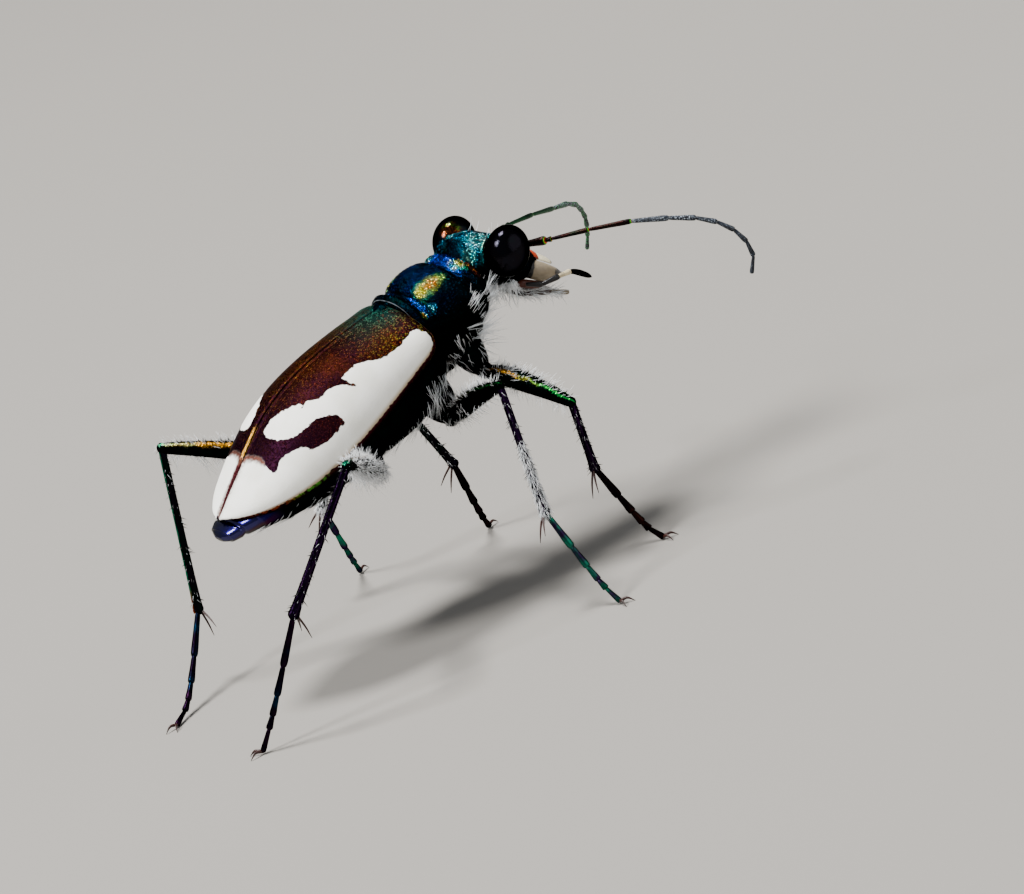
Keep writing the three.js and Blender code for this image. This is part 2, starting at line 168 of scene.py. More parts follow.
# One closed mesh part from rings of points, with its map, its own-frame spots and a value for each point
def gridPart(grid, matrix=None, extra=None):
    n, m = grid.shape[:2]
    i, j = (a.ravel() for a in np.meshgrid(np.arange(n - 1), np.arange(m), indexing="ij"))
    k = (j + 1) % m
    faces = np.stack([i * m + j, i * m + k, (i + 1) * m + k, (i + 1) * m + j], 1).tolist()
    u, v, u2, v2 = j / m, i / (n - 1), (j + 1) / m, (i + 1) / (n - 1)
    maps = np.stack([u, v, u2, v, u2, v2, u, v2], 1).reshape(-1, 2)
    own = np.vstack([grid.reshape(-1, 3), grid[0].mean(0), grid[-1].mean(0)])
    ring = np.arange(m)
    after = (ring + 1) % m
    for row, hub, end in ((0, n * m, 0.0), (n - 1, n * m + 1, 1.0)):
        fan = [np.full(m, hub), ring + row * m, after + row * m]
        faces += np.stack(fan if row else [fan[0], fan[2], fan[1]], 1).tolist()
        corners = [[(a + 0.5) / m, end, a / m, end, (a + 1) / m, end] for a in ring]
        maps = np.vstack([maps, np.array(corners).reshape(-1, 2)])
    values = np.zeros(n * m) if extra is None else np.asarray(extra, float).ravel()
    values = np.append(values, [values[:m].mean(), values[-m:].mean()])
    placed = own if matrix is None else moved(own, matrix)
    return facingOut({"points": placed, "faces": faces, "maps": maps, "spots": own, "values": values})


def facingOut(part):
    points = part["points"] - part["points"].mean(0)
    volume = 0.0
    for size in (3, 4):
        picked = np.array([f for f in part["faces"] if len(f) == size])
        if len(picked) == 0:
            continue
        for a, b in ((1, 2), (2, 3))[: size - 2]:
            p, q, r = points[picked[:, 0]], points[picked[:, a]], points[picked[:, b]]
            volume += (p * np.cross(q, r)).sum()
    if volume < 0:
        maps, turned, at = part["maps"], [], 0
        for face in part["faces"]:
            turned.append(maps[at: at + len(face)][::-1])
            at += len(face)
        part["faces"] = [f[::-1] for f in part["faces"]]
        part["maps"] = np.vstack(turned)
    return part


# A limb with domed ends along points, with widths and heights at each of them; its map's quarter turns up
def sweep(path, widths, sides, steps, heights=None, up=(0, 0, 1), ridges=0.0):
    line = smoothRows(path, steps)
    wide, high = (smoothRows([[w] for w in row], steps)[:, 0] for row in (widths, heights or widths))
    tangent = np.gradient(line, axis=0)
    tangent /= np.linalg.norm(tangent, axis=1, keepdims=True)
    aside = np.cross(tangent, np.asarray(up, float))
    aside /= np.maximum(np.linalg.norm(aside, axis=1, keepdims=True), 1e-9)
    rings = [line, wide, high, tangent, aside, np.cross(aside, tangent)]
    line, wide, high, tangent, aside, top = domed(domed(rings, True), False)
    angle = np.linspace(0, 2 * pi, sides, endpoint=False)
    swell = 1 + ridges * np.cos(angle * (sides // 4))
    across = aside[:, None] * (np.cos(angle) * swell)[None, :, None] * wide[:, None, None]
    upward = top[:, None] * (np.sin(angle) * swell)[None, :, None] * high[:, None, None]
    return line[:, None] + across + upward


# Three more rings that close an end as a dome
def domed(rings, first):
    line, wide, high, tangent = rings[:4]
    at, way = (0, -1) if first else (-1, 1)
    turns = np.radians([30, 58, 80])
    reach = (wide[at] + high[at]) / 2
    added = [line[at] + tangent[at] * way * reach * np.sin(turns)[:, None]]
    added += [wide[at] * np.cos(turns), high[at] * np.cos(turns)]
    added += [np.repeat(a[at][None], 3, 0) for a in rings[3:]]
    if first:
        return [np.concatenate([new[::-1], old]) for new, old in zip(added, rings)]
    return [np.concatenate([old, new]) for new, old in zip(added, rings)]


def unit(v):
    return np.asarray(v, float) / np.linalg.norm(v)


# Stores rows of numbers on a mesh's points
def store(mesh, label, kind, field, rows):
    mesh.attributes.new(label, kind, "POINT").data.foreach_set(field, np.asarray(rows, float).ravel())


# One object from mesh parts. It rides on the root body and stands for the named solids.
def makePiece(name, parts, finish, nodes=()):
    stacked = {key: np.concatenate([p[key] for p in parts]) for key in ("points", "maps", "spots", "values")}
    faces, base = [], 0
    for p in parts:
        faces += [[a + base for a in f] for f in p["faces"]]
        base += len(p["points"])
    mesh = bpy.data.meshes.new(name)
    mesh.from_pydata((stacked["points"] * toMetres).tolist(), [], faces)
    mesh.uv_layers.new(name="skinMap").data.foreach_set("uv", stacked["maps"].ravel())
    store(mesh, "spot", "FLOAT_VECTOR", "vector", stacked["spots"])
    store(mesh, "value", "FLOAT", "value", stacked["values"])
    mesh.polygons.foreach_set("use_smooth", np.ones(len(mesh.polygons), bool))
    mesh.update()
    made = bpy.data.objects.new(name, mesh)
    bpy.context.scene.collection.objects.link(made)
    mesh.materials.append(finish)
    return settle(made, nodes)


def settle(made, nodes=()):
    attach(made, "root")
    if nodes:
        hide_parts(*nodes)
    return made


def newGroup(name, inputs, outputs, kind="ShaderNodeTree"):
    tree = bpy.data.node_groups.new(name, kind)
    for label, sort, value in inputs:
        socket = tree.interface.new_socket(label, in_out="INPUT", socket_type="NodeSocket" + sort)
        if value is not None:
            socket.default_value = value
    for label, sort in outputs:
        tree.interface.new_socket(label, in_out="OUTPUT", socket_type="NodeSocket" + sort)
    return tree, tree.nodes.new("NodeGroupInput").outputs, tree.nodes.new("NodeGroupOutput").inputs


def feed(socket, value):
    if isinstance(value, bpy.types.NodeSocket):
        socket.id_data.links.new(value, socket)
    else:
        socket.default_value = value


# Adds a node to the tree of the sockets that feed it, or to the tree given
def addNode(kind, links, tree=None, **settings):
    tree = tree or next(v.id_data for v in links.values() if isinstance(v, bpy.types.NodeSocket))
    node = tree.nodes.new(kind)
    for key, value in settings.items():
        setattr(node, key, value)
    for key, value in links.items():
        feed(node.inputs[key], value)
    return node


def maths(operation, a, b=0.0):
    return addNode("ShaderNodeMath", {0: a, 1: b}, operation=operation).outputs[0]


def product(first, *rest):
    for value in rest:
        first = maths("MULTIPLY", first, value)
    return first


def total(first, *rest):
    for value in rest:
        first = maths("ADD", first, value)
    return first


def capped(value):
    return maths("MINIMUM", value, 1.0)


def ranged(value, low, high, toLow=0.0, toHigh=1.0, kind="SMOOTHSTEP"):
    links = {"Value": value, "From Min": low, "From Max": high, "To Min": toLow, "To Max": toHigh}
    return addNode("ShaderNodeMapRange", links, interpolation_type=kind).outputs[0]


def socketOf(sockets, identifier):
    return next(s for s in sockets if s.identifier == identifier)


# A colour is a socket, a colour code or a triple
def mixed(factor, a, b):
    node = addNode("ShaderNodeMix", {}, factor.id_data, data_type="RGBA")
    feed(socketOf(node.inputs, "Factor_Float"), factor)
    for key, value in (("A_Color", a), ("B_Color", b)):
        feed(socketOf(node.inputs, key), solid(value) if isinstance(value, (str, tuple)) else value)
    return socketOf(node.outputs, "Result_Color")


def noise(vector, scale, detail=3.0, roughness=0.5):
    links = {"Vector": vector, "Scale": scale, "Detail": detail, "Roughness": roughness}
    return addNode("ShaderNodeTexNoise", links).outputs["Fac"]


# A mask from a noise: 0 where it is under low, 1 where it is over high
def drift(vector, scale, low, high, detail=3.0):
    return ranged(noise(vector, scale, detail), low, high)


# A noise that swings about 0
def wobble(vector, scale, amount):
    return product(total(noise(vector, scale), -0.5), amount)


def axesOf(vector):
    return addNode("ShaderNodeSeparateXYZ", {"Vector": vector}).outputs


def stretched(vector, scale):
    return addNode("ShaderNodeMapping", {"Vector": vector, "Scale": scale}).outputs[0]


# Granules with pits between them, spots in millimetres; glint is high on a few of them, tone differs on all
def grainGroup():
    tree, source, out = newGroup(
        "cuticle grain",
        [("Spot", "Vector", None), ("Per mm", "Float", 12.0), ("Pit depth", "Float", 1.0),
         ("Fine depth", "Float", 0.4)],
        [("Height", "Float"), ("Pits", "Float"), ("Glint", "Float"), ("Tone", "Float")],
    )
    spot, perMm = source["Spot"], source["Per mm"]
    cells = addNode("ShaderNodeTexVoronoi", {"Vector": spot, "Scale": perMm}, feature="F1").outputs
    pits = ranged(cells["Distance"], 0.15, 0.6)
    fine = product(noise(spot, product(perMm, 3.1), 3.0, 0.6), source["Fine depth"])
    height = total(product(maths("SUBTRACT", 1.0, pits), source["Pit depth"]), fine)
    chance, tone = addNode("ShaderNodeSeparateColor", {"Color": cells["Color"]}).outputs[:2]
    glint = product(maths("POWER", chance, 2.4), ranged(cells["Distance"], 0.62, 0.3))
    for label, value in (("Height", height), ("Pits", pits), ("Glint", glint), ("Tone", tone)):
        feed(out[label], value)
    return tree


# Drifting hues: three colours over a slow noise
def hueGroup():
    tree, source, out = newGroup(
        "metal hues",
        [("Spot", "Vector", None), ("Per mm", "Float", 1.2), ("First", "Color", None),
         ("Second", "Color", None), ("Third", "Color", None)],
        [("Color", "Color")],
    )
    slow = noise(source["Spot"], source["Per mm"], 4.0, 0.6)
    low = mixed(ranged(slow, 0.36, 0.52), source["First"], source["Second"])
    feed(out["Color"], mixed(ranged(slow, 0.50, 0.66), low, source["Third"]))
    return tree


# A soft-edged patch round a point, the same on both sides of the body
def patchGroup():
    tree, source, out = newGroup(
        "mirrored patch",
        [("Spot", "Vector", None), ("Centre", "Vector", None), ("Reach", "Vector", None),
         ("Roughen", "Float", 0.3), ("Per mm", "Float", 5.0)],
        [("Mask", "Float")],
    )
    x, y, z = axesOf(source["Spot"])
    folded = addNode("ShaderNodeCombineXYZ", {0: x, 1: maths("ABSOLUTE", y), 2: z})
    away = folded.outputs[0]
    for operation, label in (("SUBTRACT", "Centre"), ("DIVIDE", "Reach")):
        links = {0: away, 1: source[label]}
        away = addNode("ShaderNodeVectorMath", links, operation=operation).outputs[0]
    away = addNode("ShaderNodeVectorMath", {0: away}, operation="LENGTH").outputs["Value"]
    rough = total(noise(source["Spot"], source["Per mm"], 4.0, 0.6), -0.5)
    feed(out["Mask"], ranged(total(away, product(rough, source["Roughen"])), 1.15, 0.55))
    return tree


grainTree, hueTree, patchTree = grainGroup(), hueGroup(), patchGroup()


def grains(spot, perMm, pits, fine):
    links = {"Spot": spot, "Per mm": perMm, "Pit depth": pits, "Fine depth": fine}
    return addNode("ShaderNodeGroup", links, node_tree=grainTree).outputs


def patched(spot, centre, reach, roughen, perMm):
    links = {"Spot": spot, "Centre": centre, "Reach": reach, "Roughen": roughen, "Per mm": perMm}
    return addNode("ShaderNodeGroup", links, node_tree=patchTree).outputs["Mask"]


def threeHues(spot, perMm, *codes):
    links = {"Spot": spot, "Per mm": perMm}
    links.update({label: solid(code) for label, code in zip(("First", "Second", "Third"), codes)})
    return addNode("ShaderNodeGroup", links, node_tree=hueTree).outputs["Color"]


def attribute(tree, name, kind="Vector"):
    return addNode("ShaderNodeAttribute", {}, tree, attribute_name=name).outputs[kind]


# Spots in millimetres in the shared frame
def worldSpot(tree):
    return stretched(addNode("ShaderNodeTexCoord", {}, tree).outputs["Object"], (1000, 1000, 1000))


socketLabels = {
    "specular": "Specular IOR Level", "scatter": "Subsurface Weight", "scatterDepth": "Subsurface Scale",
    "scatterReach": "Subsurface Radius", "coat": "Coat Weight", "coatRoughness": "Coat Roughness",
    "metallic": "Metallic", "roughness": "Roughness", "edge": "Specular Tint",
}


# Depths in metres of the fine relief on each surface
reliefs = {"cases": 0.000015, "cuticle": 0.000026, "collar": 0.000006, "trunk": 0.00001, "eye": 0.000004,
           "mouth": 0.000006, "leg": 0.000009, "foot": 0.000008, "feeler": 0.00001, "palp": 0.000006,
           "hair": 0.000001}


# Values that are the same all over a surface go straight to the shader's sockets
def newMaterial(name, **values):
    material = bpy.data.materials.new(name)
    material.use_nodes = True
    shader = material.node_tree.nodes["Principled BSDF"]
    for key, value in values.items():
        shader.inputs[socketLabels[key]].default_value = (value, value, value, 1) if key == "edge" else value
    return material, material.node_tree


# Links what varies over a surface: its colour, a bump of the given depth in metres, and other sockets
def dressed(material, color, height, depth, strength=1.0, **values):
    shader = material.node_tree.nodes["Principled BSDF"]
    feed(shader.inputs["Base Color"], color)
    node = addNode("ShaderNodeBump", {"Height": height, "Strength": strength, "Distance": depth})
    feed(shader.inputs["Normal"], node.outputs[0])
    for key, value in values.items():
        feed(shader.inputs[socketLabels[key]], value)
    return material


def rgb(code):
    parts = [int(code[i: i + 2], 16) / 255 for i in (0, 2, 4)]
    return tuple(p / 12.92 if p <= 0.04045 else ((p + 0.055) / 1.055) ** 2.4 for p in parts)


def solid(color):
    return (*(rgb(color) if isinstance(color, str) else color), 1)


# Wing cases
cases = {
    "rows": [
        [0.34, 1.44, -0.18, -0.76], [0.22, 1.82, -0.06, -1.02], [-0.12, 2.00, 0.06, -1.18],
        [-1.00, 2.02, 0.28, -1.26], [-2.20, 2.12, 0.52, -1.28], [-3.40, 2.20, 0.62, -1.26],
        [-4.50, 2.18, 0.52, -1.20], [-5.40, 2.02, 0.26, -1.10], [-6.20, 1.70, -0.04, -0.95],
        [-6.80, 1.30, -0.26, -0.80], [-7.20, 0.84, -0.42, -0.68], [-7.42, 0.44, -0.50, -0.60],
        [-7.52, 0.10, -0.54, -0.57],
    ],
    "squareness": 2.1,
    "wall": 0.14,
    "rimFront": 0.05,
    "rimRear": 0.07,
    "seam": 0.012,
    "seamGroove": 0.05,
    "seamRidge": 0.03,
    "sideRidge": 0.018,
    "sideGroove": 0.02,
    "shoulderHollow": 0.05,
    "lengthSteps": 200,
    "acrossSteps": 80,
    "rimSteps": 5,
    "sideSpan": 3.0,
    "widest": 2.2,
    "grainPerMm": 23.0,
    "dark": "14050a",
    "warm": "200a07",
    "purple": "180612",
    "ivory": "f6f4ec",
    "ivoryShade": "eceadf",
    "edgeStain": "a88a5c",
    "glintBrown": "7c3416",
    "glintGold": "8a8424",
    "glintTeal": "14806a",
    "tealGround": "06211f",
    # teal granules reach further on the left case: painted sheen
    "tealReachWithSheen": {"left": (1.0, 0.4), "right": (0.50, 0.08)},
    "seamLine": "080304",
    "gold": "f0b044",
    "maroon": "35090f",
    "blurBrown": "5e2c1c",
    "rimDark": "2c0810",
    "rimBeads": ("1c080a", "7a3416", "3c7a24"),
    # where colours change: distances along the seam, or shares of the way from the seam to the side edge
    "purpleAlong": (-2.6, -5.4),
    "blurAlong": (-5.3, -5.7),
    "blurAcross": (0.42, 0.24),
    "blurSoft": (0.012, 0.16),
    "richAlong": (-2.2, 0.7),
    "richAcross": (0.62, 0.1),
    "tealAlong": (-1.9, 0.2),
    "fadeAlong": (-5.6, -3.0),
    "goldAlong": ((-4.8, -5.25), (-6.2, -5.9)),
    "maroonAlong": (-5.8, -6.1),
    "stainAcross": (0.93, 0.985),
    "rimAcross": (0.982, 0.990),
    "brassAlong": ((-4.6, -5.2), (-7.2, -6.6)),
}

# Outline of the pale marking on one case: distance along the seam, share of the way to the side edge
paleOutline = [
    (0.14, 0.79), (0.05, 0.63), (-0.11, 0.606), (-0.37, 0.614), (-0.62, 0.631), (-1.13, 0.614),
    (-1.42, 0.572), (-1.65, 0.494), (-1.90, 0.444), (-2.20, 0.439), (-2.50, 0.450), (-2.47, 0.53),
    (-2.40, 0.575), (-2.42, 0.605), (-2.50, 0.600), (-2.54, 0.54), (-2.66, 0.49), (-2.75, 0.469),
    (-3.02, 0.422), (-3.28, 0.422), (-3.47, 0.406), (-3.64, 0.331), (-3.87, 0.347), (-3.82, 0.300),
    (-3.95, 0.250), (-4.29, 0.167), (-4.57, 0.125), (-4.94, 0.114), (-5.06, 0.178), (-5.04, 0.267),
    (-4.98, 0.339), (-4.73, 0.450), (-4.40, 0.486), (-3.91, 0.519), (-3.68, 0.575), (-3.46, 0.650),
    (-3.42, 0.710), (-3.49, 0.753), (-3.80, 0.753), (-4.21, 0.744), (-4.57, 0.700), (-4.73, 0.658),
    (-4.74, 0.603), (-5.02, 0.531), (-5.32, 0.481), (-5.51, 0.481), (-5.79, 0.525), (-5.83, 0.49),
    (-5.79, 0.440), (-5.79, 0.378), (-5.73, 0.231), (-5.79, 0.083), (-5.95, 0.030), (-6.50, 0.025),
    (-7.00, 0.030), (-7.50, 0.060), (-7.60, 0.500), (-7.60, 0.985), (-0.20, 0.985), (0.02, 0.965),
    (0.14, 0.90),
]


# Distance to an outline's edge, above zero inside it
def insideOutline(x, s, outline):
    inside = np.zeros(x.shape, bool)
    nearest = np.full(x.shape, 1e9)
    for (ax, ay), (bx, by) in zip(outline, outline[1:] + outline[:1]):
        crosses = (ay > s) != (by > s)
        with np.errstate(divide="ignore", invalid="ignore"):
            at = (bx - ax) * (s - ay) / (by - ay) + ax
        inside ^= crosses & (x < at)
        dx, dy = bx - ax, by - ay
        t = np.clip(((x - ax) * dx + (s - ay) * dy) / (dx * dx + dy * dy + 1e-12), 0, 1)
        nearest = np.minimum(nearest, np.hypot(x - ax - t * dx, s - ay - t * dy))
    return np.where(inside, nearest, -nearest)


def caseMaterial(c, side):
    material, tree = newMaterial(f"wing case {side}", specular=0.4, edge=0.25)
    spot, span = attribute(tree, "spot"), attribute(tree, "value", "Fac")
    along, across = axesOf(spot)[0], axesOf(attribute(tree, "caseShare"))[1]
    grain = grains(spot, c["grainPerMm"], 1.0, 0.3)
    blurred = product(ranged(along, *c["blurAlong"]), ranged(across, *c["blurAcross"]))
    soft = ranged(blurred, 0.0, 1.0, *c["blurSoft"])
    ragged = total(span, wobble(spot, 9.0, 0.15))
    pale = ranged(ragged, product(soft, -1.0), soft)

    # maroon ground with granules that turn gold, green and teal towards the front and the seam; the teal
    # reaches further on the left case, a painted sheen where that case faces differently
    dark = mixed(drift(spot, 0.9, 0.4, 0.62), c["dark"], c["warm"])
    dark = mixed(ranged(along, *c["purpleAlong"]), dark, c["purple"])
    slow = noise(spot, 2.0)
    nearSeam = ranged(total(across, product(slow, 0.2)), *c["richAcross"])
    nearBase = ranged(total(along, product(slow, 1.2)), *c["richAlong"])
    rich = maths("MAXIMUM", nearBase, product(nearSeam, 0.42))
    bright = mixed(ranged(grain["Tone"], 0.25, 0.75), c["glintBrown"], c["glintGold"])
    bright = mixed(rich, c["glintBrown"], bright)
    teal = product(ranged(along, *c["tealAlong"]), ranged(across, *c["tealReachWithSheen"][side]))
    bright = mixed(product(teal, ranged(grain["Tone"], 0.15, 0.5)), bright, c["glintTeal"])
    amount = product(grain["Glint"], ranged(rich, 0.0, 0.8, 0.35, 1.5, "LINEAR"))
    amount = product(amount, ranged(along, *c["fadeAlong"], 0.25, 0.9))
    dark = mixed(capped(amount), mixed(teal, dark, c["tealGround"]), bright)

    # the seam: a dark line, edged with gold at the marking's rear band
    dark = mixed(ranged(across, 0.0165, 0.009), dark, c["seamLine"])
    edge = product(ranged(across, 0.034, 0.024), ranged(across, 0.010, 0.015))
    gold = product(edge, *(ranged(along, *ends) for ends in c["goldAlong"]))
    gold = product(gold, ranged(grain["Glint"], 0.0, 0.3, 0.45, 1.0))
    dark = mixed(gold, dark, c["gold"])

    # the ivory marking, brown where its edge is blurred, and the maroon seam behind
    ivory = mixed(drift(spot, 1.4, 0.35, 0.7), c["ivory"], c["ivoryShade"])
    ivory = mixed(product(ranged(across, *c["stainAcross"]), 0.8), ivory, c["edgeStain"])
    between = product(ranged(pale, 0.0, 0.2), ranged(pale, 0.95, 0.3))
    between = product(between, ranged(blurred, 0.2, 0.7), 0.9)
    color = mixed(between, mixed(pale, dark, ivory), c["blurBrown"])
    seamLine = product(ranged(across, 0.042, 0.028), ranged(along, *c["maroonAlong"]))
    color = mixed(seamLine, color, c["maroon"])

    # side rim: dark in front, beaded with gold and green behind
    rim = ranged(across, *c["rimAcross"])
    beads = noise(stretched(spot, (1.0, 0.3, 0.3)), 9.0, 2.0)
    tint = product(noise(spot, 3.0), 0.5)
    tint = total(ranged(along, -6.4, -5.2, 0.0, 0.6, "LINEAR"), tint)
    brassy = mixed(ranged(tint, 0.35, 0.65), *c["rimBeads"][1:])
    brassy = mixed(ranged(beads, 0.44, 0.60), c["rimBeads"][0], brassy)
    rear = product(*(ranged(along, *ends) for ends in c["brassAlong"]))
    color = mixed(rim, color, mixed(rear, c["rimDark"], brassy))

    bare = maths("SUBTRACT", 1.0, rim)
    shell = maths("SUBTRACT", 1.0, product(pale, bare))
    rough = ranged(shell, 0.0, 1.0, 0.46, 0.31, "LINEAR")
    rough = total(rough, product(grain["Pits"], 0.08))
    depth = product(grain["Height"], ranged(pale, 0.0, 1.0, 1.0, 0.2, "LINEAR"))
    depth = total(depth, product(beads, rim, 0.5))
    return dressed(material, color, depth, reliefs["cases"], metallic=shell, roughness=rough)


def makeCases(c):
    sections = smoothRows(c["rows"], c["lengthSteps"])
    x, halfWidth, top, edge = (sections[:, i][:, None] for i in range(4))
    rise = np.maximum(top - edge, 0.03)
    share = np.linspace(0, 1, c["acrossSteps"] + 1)[None]
    share = share - 0.012 * np.sin(2 * pi * share)
    angle = (1 - share) * pi / 2
    y = squared(np.cos(angle), c["squareness"]) * halfWidth
    z = edge + squared(np.sin(angle), c["squareness"]) * rise
    grid = np.stack([np.repeat(x, share.size, 1), y, z], -1)

    # groove and ridge beside the seam, ridge and groove at the side rim, hollow inside the shoulder
    lift = -c["seamGroove"] * bump(y, 0, 0.05) + c["seamRidge"] * bump(y, 0.12, 0.045)
    lift += c["sideRidge"] * bump(share, 0.995, 0.006) - c["sideGroove"] * bump(share, 0.975, 0.01)
    lift -= c["shoulderHollow"] * bump(x, -0.15, 0.5) * bump(y, 1.05, 0.45)
    normal = gridNormals(grid, False)
    normal *= np.sign(normal[:, :, 2:3].mean())
    grid = grid + normal * lift[..., None]
    grid[:, :, 1] = np.maximum(grid[:, :, 1], c["seam"])

    # the rim that bends down, and the wall's inner side
    fall = np.linspace(0, 1, c["rimSteps"] + 1)[1:][None]
    drop = c["rimFront"] + (c["rimRear"] - c["rimFront"]) * step(x, -3.8, -5.0)
    drop = drop * np.minimum(halfWidth / 0.8, 1)
    rimSide = halfWidth + 0.012 * np.sin(pi * fall) - 0.5 * drop * fall
    rimGrid = np.stack([np.repeat(x, fall.size, 1), rimSide, edge - drop * fall], -1)
    outer = np.concatenate([grid, rimGrid], 1)
    shares = np.concatenate([np.repeat(share, len(x), 0), np.repeat(1 + 0.08 * fall, len(x), 0)], 1)
    hollow = outer.copy()
    hollow[:, :, 2] -= c["wall"] * np.minimum(1, rise / 0.5)
    hollow[:, :, 1] = np.clip(hollow[:, :, 1] * (1 - c["wall"] / np.maximum(halfWidth, 0.4)), c["seam"], None)
    hollow[:, -1] = outer[:, -1] * 0.5 + hollow[:, -1] * 0.5
    ring = np.concatenate([outer, hollow[:, ::-1]], 1)

    # distance of each spot from the marking's outline, both laid out flat
    outline = []
    for (ax, aq), (bx, bq) in zip(paleOutline, paleOutline[1:] + paleOutline[:1]):
        for t in np.linspace(0, 1, max(2, int(abs(bx - ax) / 0.15) + 1), endpoint=False):
            px, q = ax + (bx - ax) * t, aq + (bq - aq) * t
            wide = np.interp(-px, -sections[:, 0], sections[:, 1])
            outline.append((px, q * c["sideSpan"] * wide / c["widest"]))
    reach = share * c["sideSpan"] * (halfWidth / c["widest"])
    span = insideOutline(np.repeat(x, share.size, 1), reach, outline)
    rest = np.full((len(x), ring.shape[1] - share.size), -1.0)
    shares = np.concatenate([shares, np.full(hollow.shape[:2], 0.5)], 1)
    for side, way in bothSides.items():
        part = gridPart(ring * (1, way, 1), body, np.concatenate([span, rest], 1))
        piece = makePiece(f"wingCase_{side}", [part], caseMaterial(c, side), [f"elytron_{side}"])
        rows = np.zeros((len(part["points"]), 3))
        rows[: shares.size, 1] = shares.ravel()
        store(piece.data, "caseShare", "FLOAT_VECTOR", "vector", rows)


makeCases(cases)
print("wing cases made")

# Metallic cuticle of head, prothorax and shield: near-black ground, patches of bright granules that are
# partly the metal's own hues and partly painted glints and highlights
cuticle = {"blue": "01040f", "teal": "010c14", "green": "010d0b", "black": "010402", "glint": "0a5a78",
           "grainPerMm": 13.0}


# A patch has a centre, a reach, colours for its rim, its body and its brightest granules, and a fill. The
# dark blue patches are the metal's own hues; the bright gold, green and cyan ones are painted glints and
# highlights, mirrored to both sides.
def cuticleMaterial(name, c, hueAndGlintPatches, wrinkles, shadeBelow=(-9.0, -10.0)):
    material, tree = newMaterial(name, metallic=1.0, edge=0.3)
    spot = attribute(tree, "spot")
    color = threeHues(spot, 0.9, c["blue"], c["teal"], c["green"])
    grain = grains(spot, c["grainPerMm"], 1.0, 0.6)
    # granules tinted teal over a slow noise: painted sheen
    sheen = product(grain["Glint"], drift(spot, 1.3, 0.48, 0.7, 2.0), 0.6)
    color = mixed(sheen, color, c["glint"])
    for centre, reach, rimColor, fillColor, brightest, fill in hueAndGlintPatches:
        wide = patched(spot, centre, [r * 1.45 for r in reach], 0.8, 3.5)
        near = patched(spot, centre, reach, 0.9, 5.0)
        few = product(wide, total(grain["Glint"], 0.12), 1.6)
        many = product(near, total(grain["Glint"], fill))
        tone = mixed(ranged(grain["Tone"], 0.35, 0.8), fillColor, brightest)
        tone = mixed(product(grain["Pits"], 0.88), tone, c["black"])
        color = mixed(capped(few), color, rimColor)
        color = mixed(capped(many), color, tone)
    # black below the given heights: painted shade on the underside
    color = mixed(ranged(axesOf(spot)[2], *shadeBelow), color, c["black"])
    folds = noise(stretched(spot, wrinkles), 4.0, 3.0, 0.55)
    height = total(product(folds, 2.0), grain["Height"])
    rough = total(product(noise(spot, 4.0), 0.2), 0.15)
    return dressed(material, color, height, reliefs["cuticle"], roughness=rough)


pronotum = {
    "rows": [
        [0.00, 1.20, -0.04, -1.80], [0.16, 1.38, 0.08, -2.15], [0.38, 1.32, -0.04, -2.45],
        [0.72, 1.50, 0.14, -2.62], [1.25, 1.58, 0.20, -2.66], [1.70, 1.50, 0.12, -2.50],
        [1.98, 1.34, -0.05, -2.22], [2.22, 1.42, 0.04, -2.02], [2.50, 1.20, -0.12, -1.74],
    ],
    "squareness": 2.3,
    "steps": 130,
    "points": 132,
    "rearGroove": 0.40,
    "frontGroove": 1.98,
    "grooveDepth": 0.08,
    "midLine": 0.045,
    "rearRim": 0.035,
    "frontRim": 0.03,
    "sideSeam": -0.95,
    "seamDepth": 0.06,
    "crease": 0.05,
    "wrinkle": 0.007,
    # the dark blue patches are the metal's own hues; the gold, green and cyan ones are painted glints and
    # highlights
    "hueAndGlintPatches": [
        ((1.05, 0.55, 0.05), (0.50, 0.40, 0.5), "011048", "010a30", "083c88", 0.04),
        ((1.40, 0.92, -0.05), (0.20, 0.16, 0.5), "0c6038", "3aa850", "d8f870", 0.6),
        ((0.78, 0.86, -0.08), (0.24, 0.22, 0.6), "0c8860", "e4d818", "ffffa0", 1.0),
        ((1.10, 0.92, -0.05), (0.28, 0.19, 0.5), "6a7a08", "e89208", "fff090", 0.95),
        ((0.44, 0.95, -0.34), (0.07, 0.36, 0.3), "0a40c8", "1a70d8", "50c8e8", 0.10),
        ((0.56, 1.26, -0.50), (0.16, 0.10, 0.14), "0a80b0", "20a0b0", "90fff0", 0.6),
        ((0.36, 1.18, -0.54), (0.07, 0.09, 0.12), "409a40", "e0a018", "ffe060", 0.8),
        ((2.12, 0.66, -0.10), (0.14, 0.32, 0.4), "0a50d0", "14c8e0", "e0fffc", 1.1),
        ((2.24, 0.80, -0.16), (0.11, 0.22, 0.3), "10b868", "d0d020", "ffffb0", 1.1),
        ((2.40, 0.98, -0.20), (0.07, 0.40, 0.4), "6a2a10", "8a4010", "e09030", 0.20),
        ((2.14, 0.05, -0.00), (0.18, 0.50, 0.4), "04209a", "0a34c8", "2a60e0", 0.05),
    ],
}


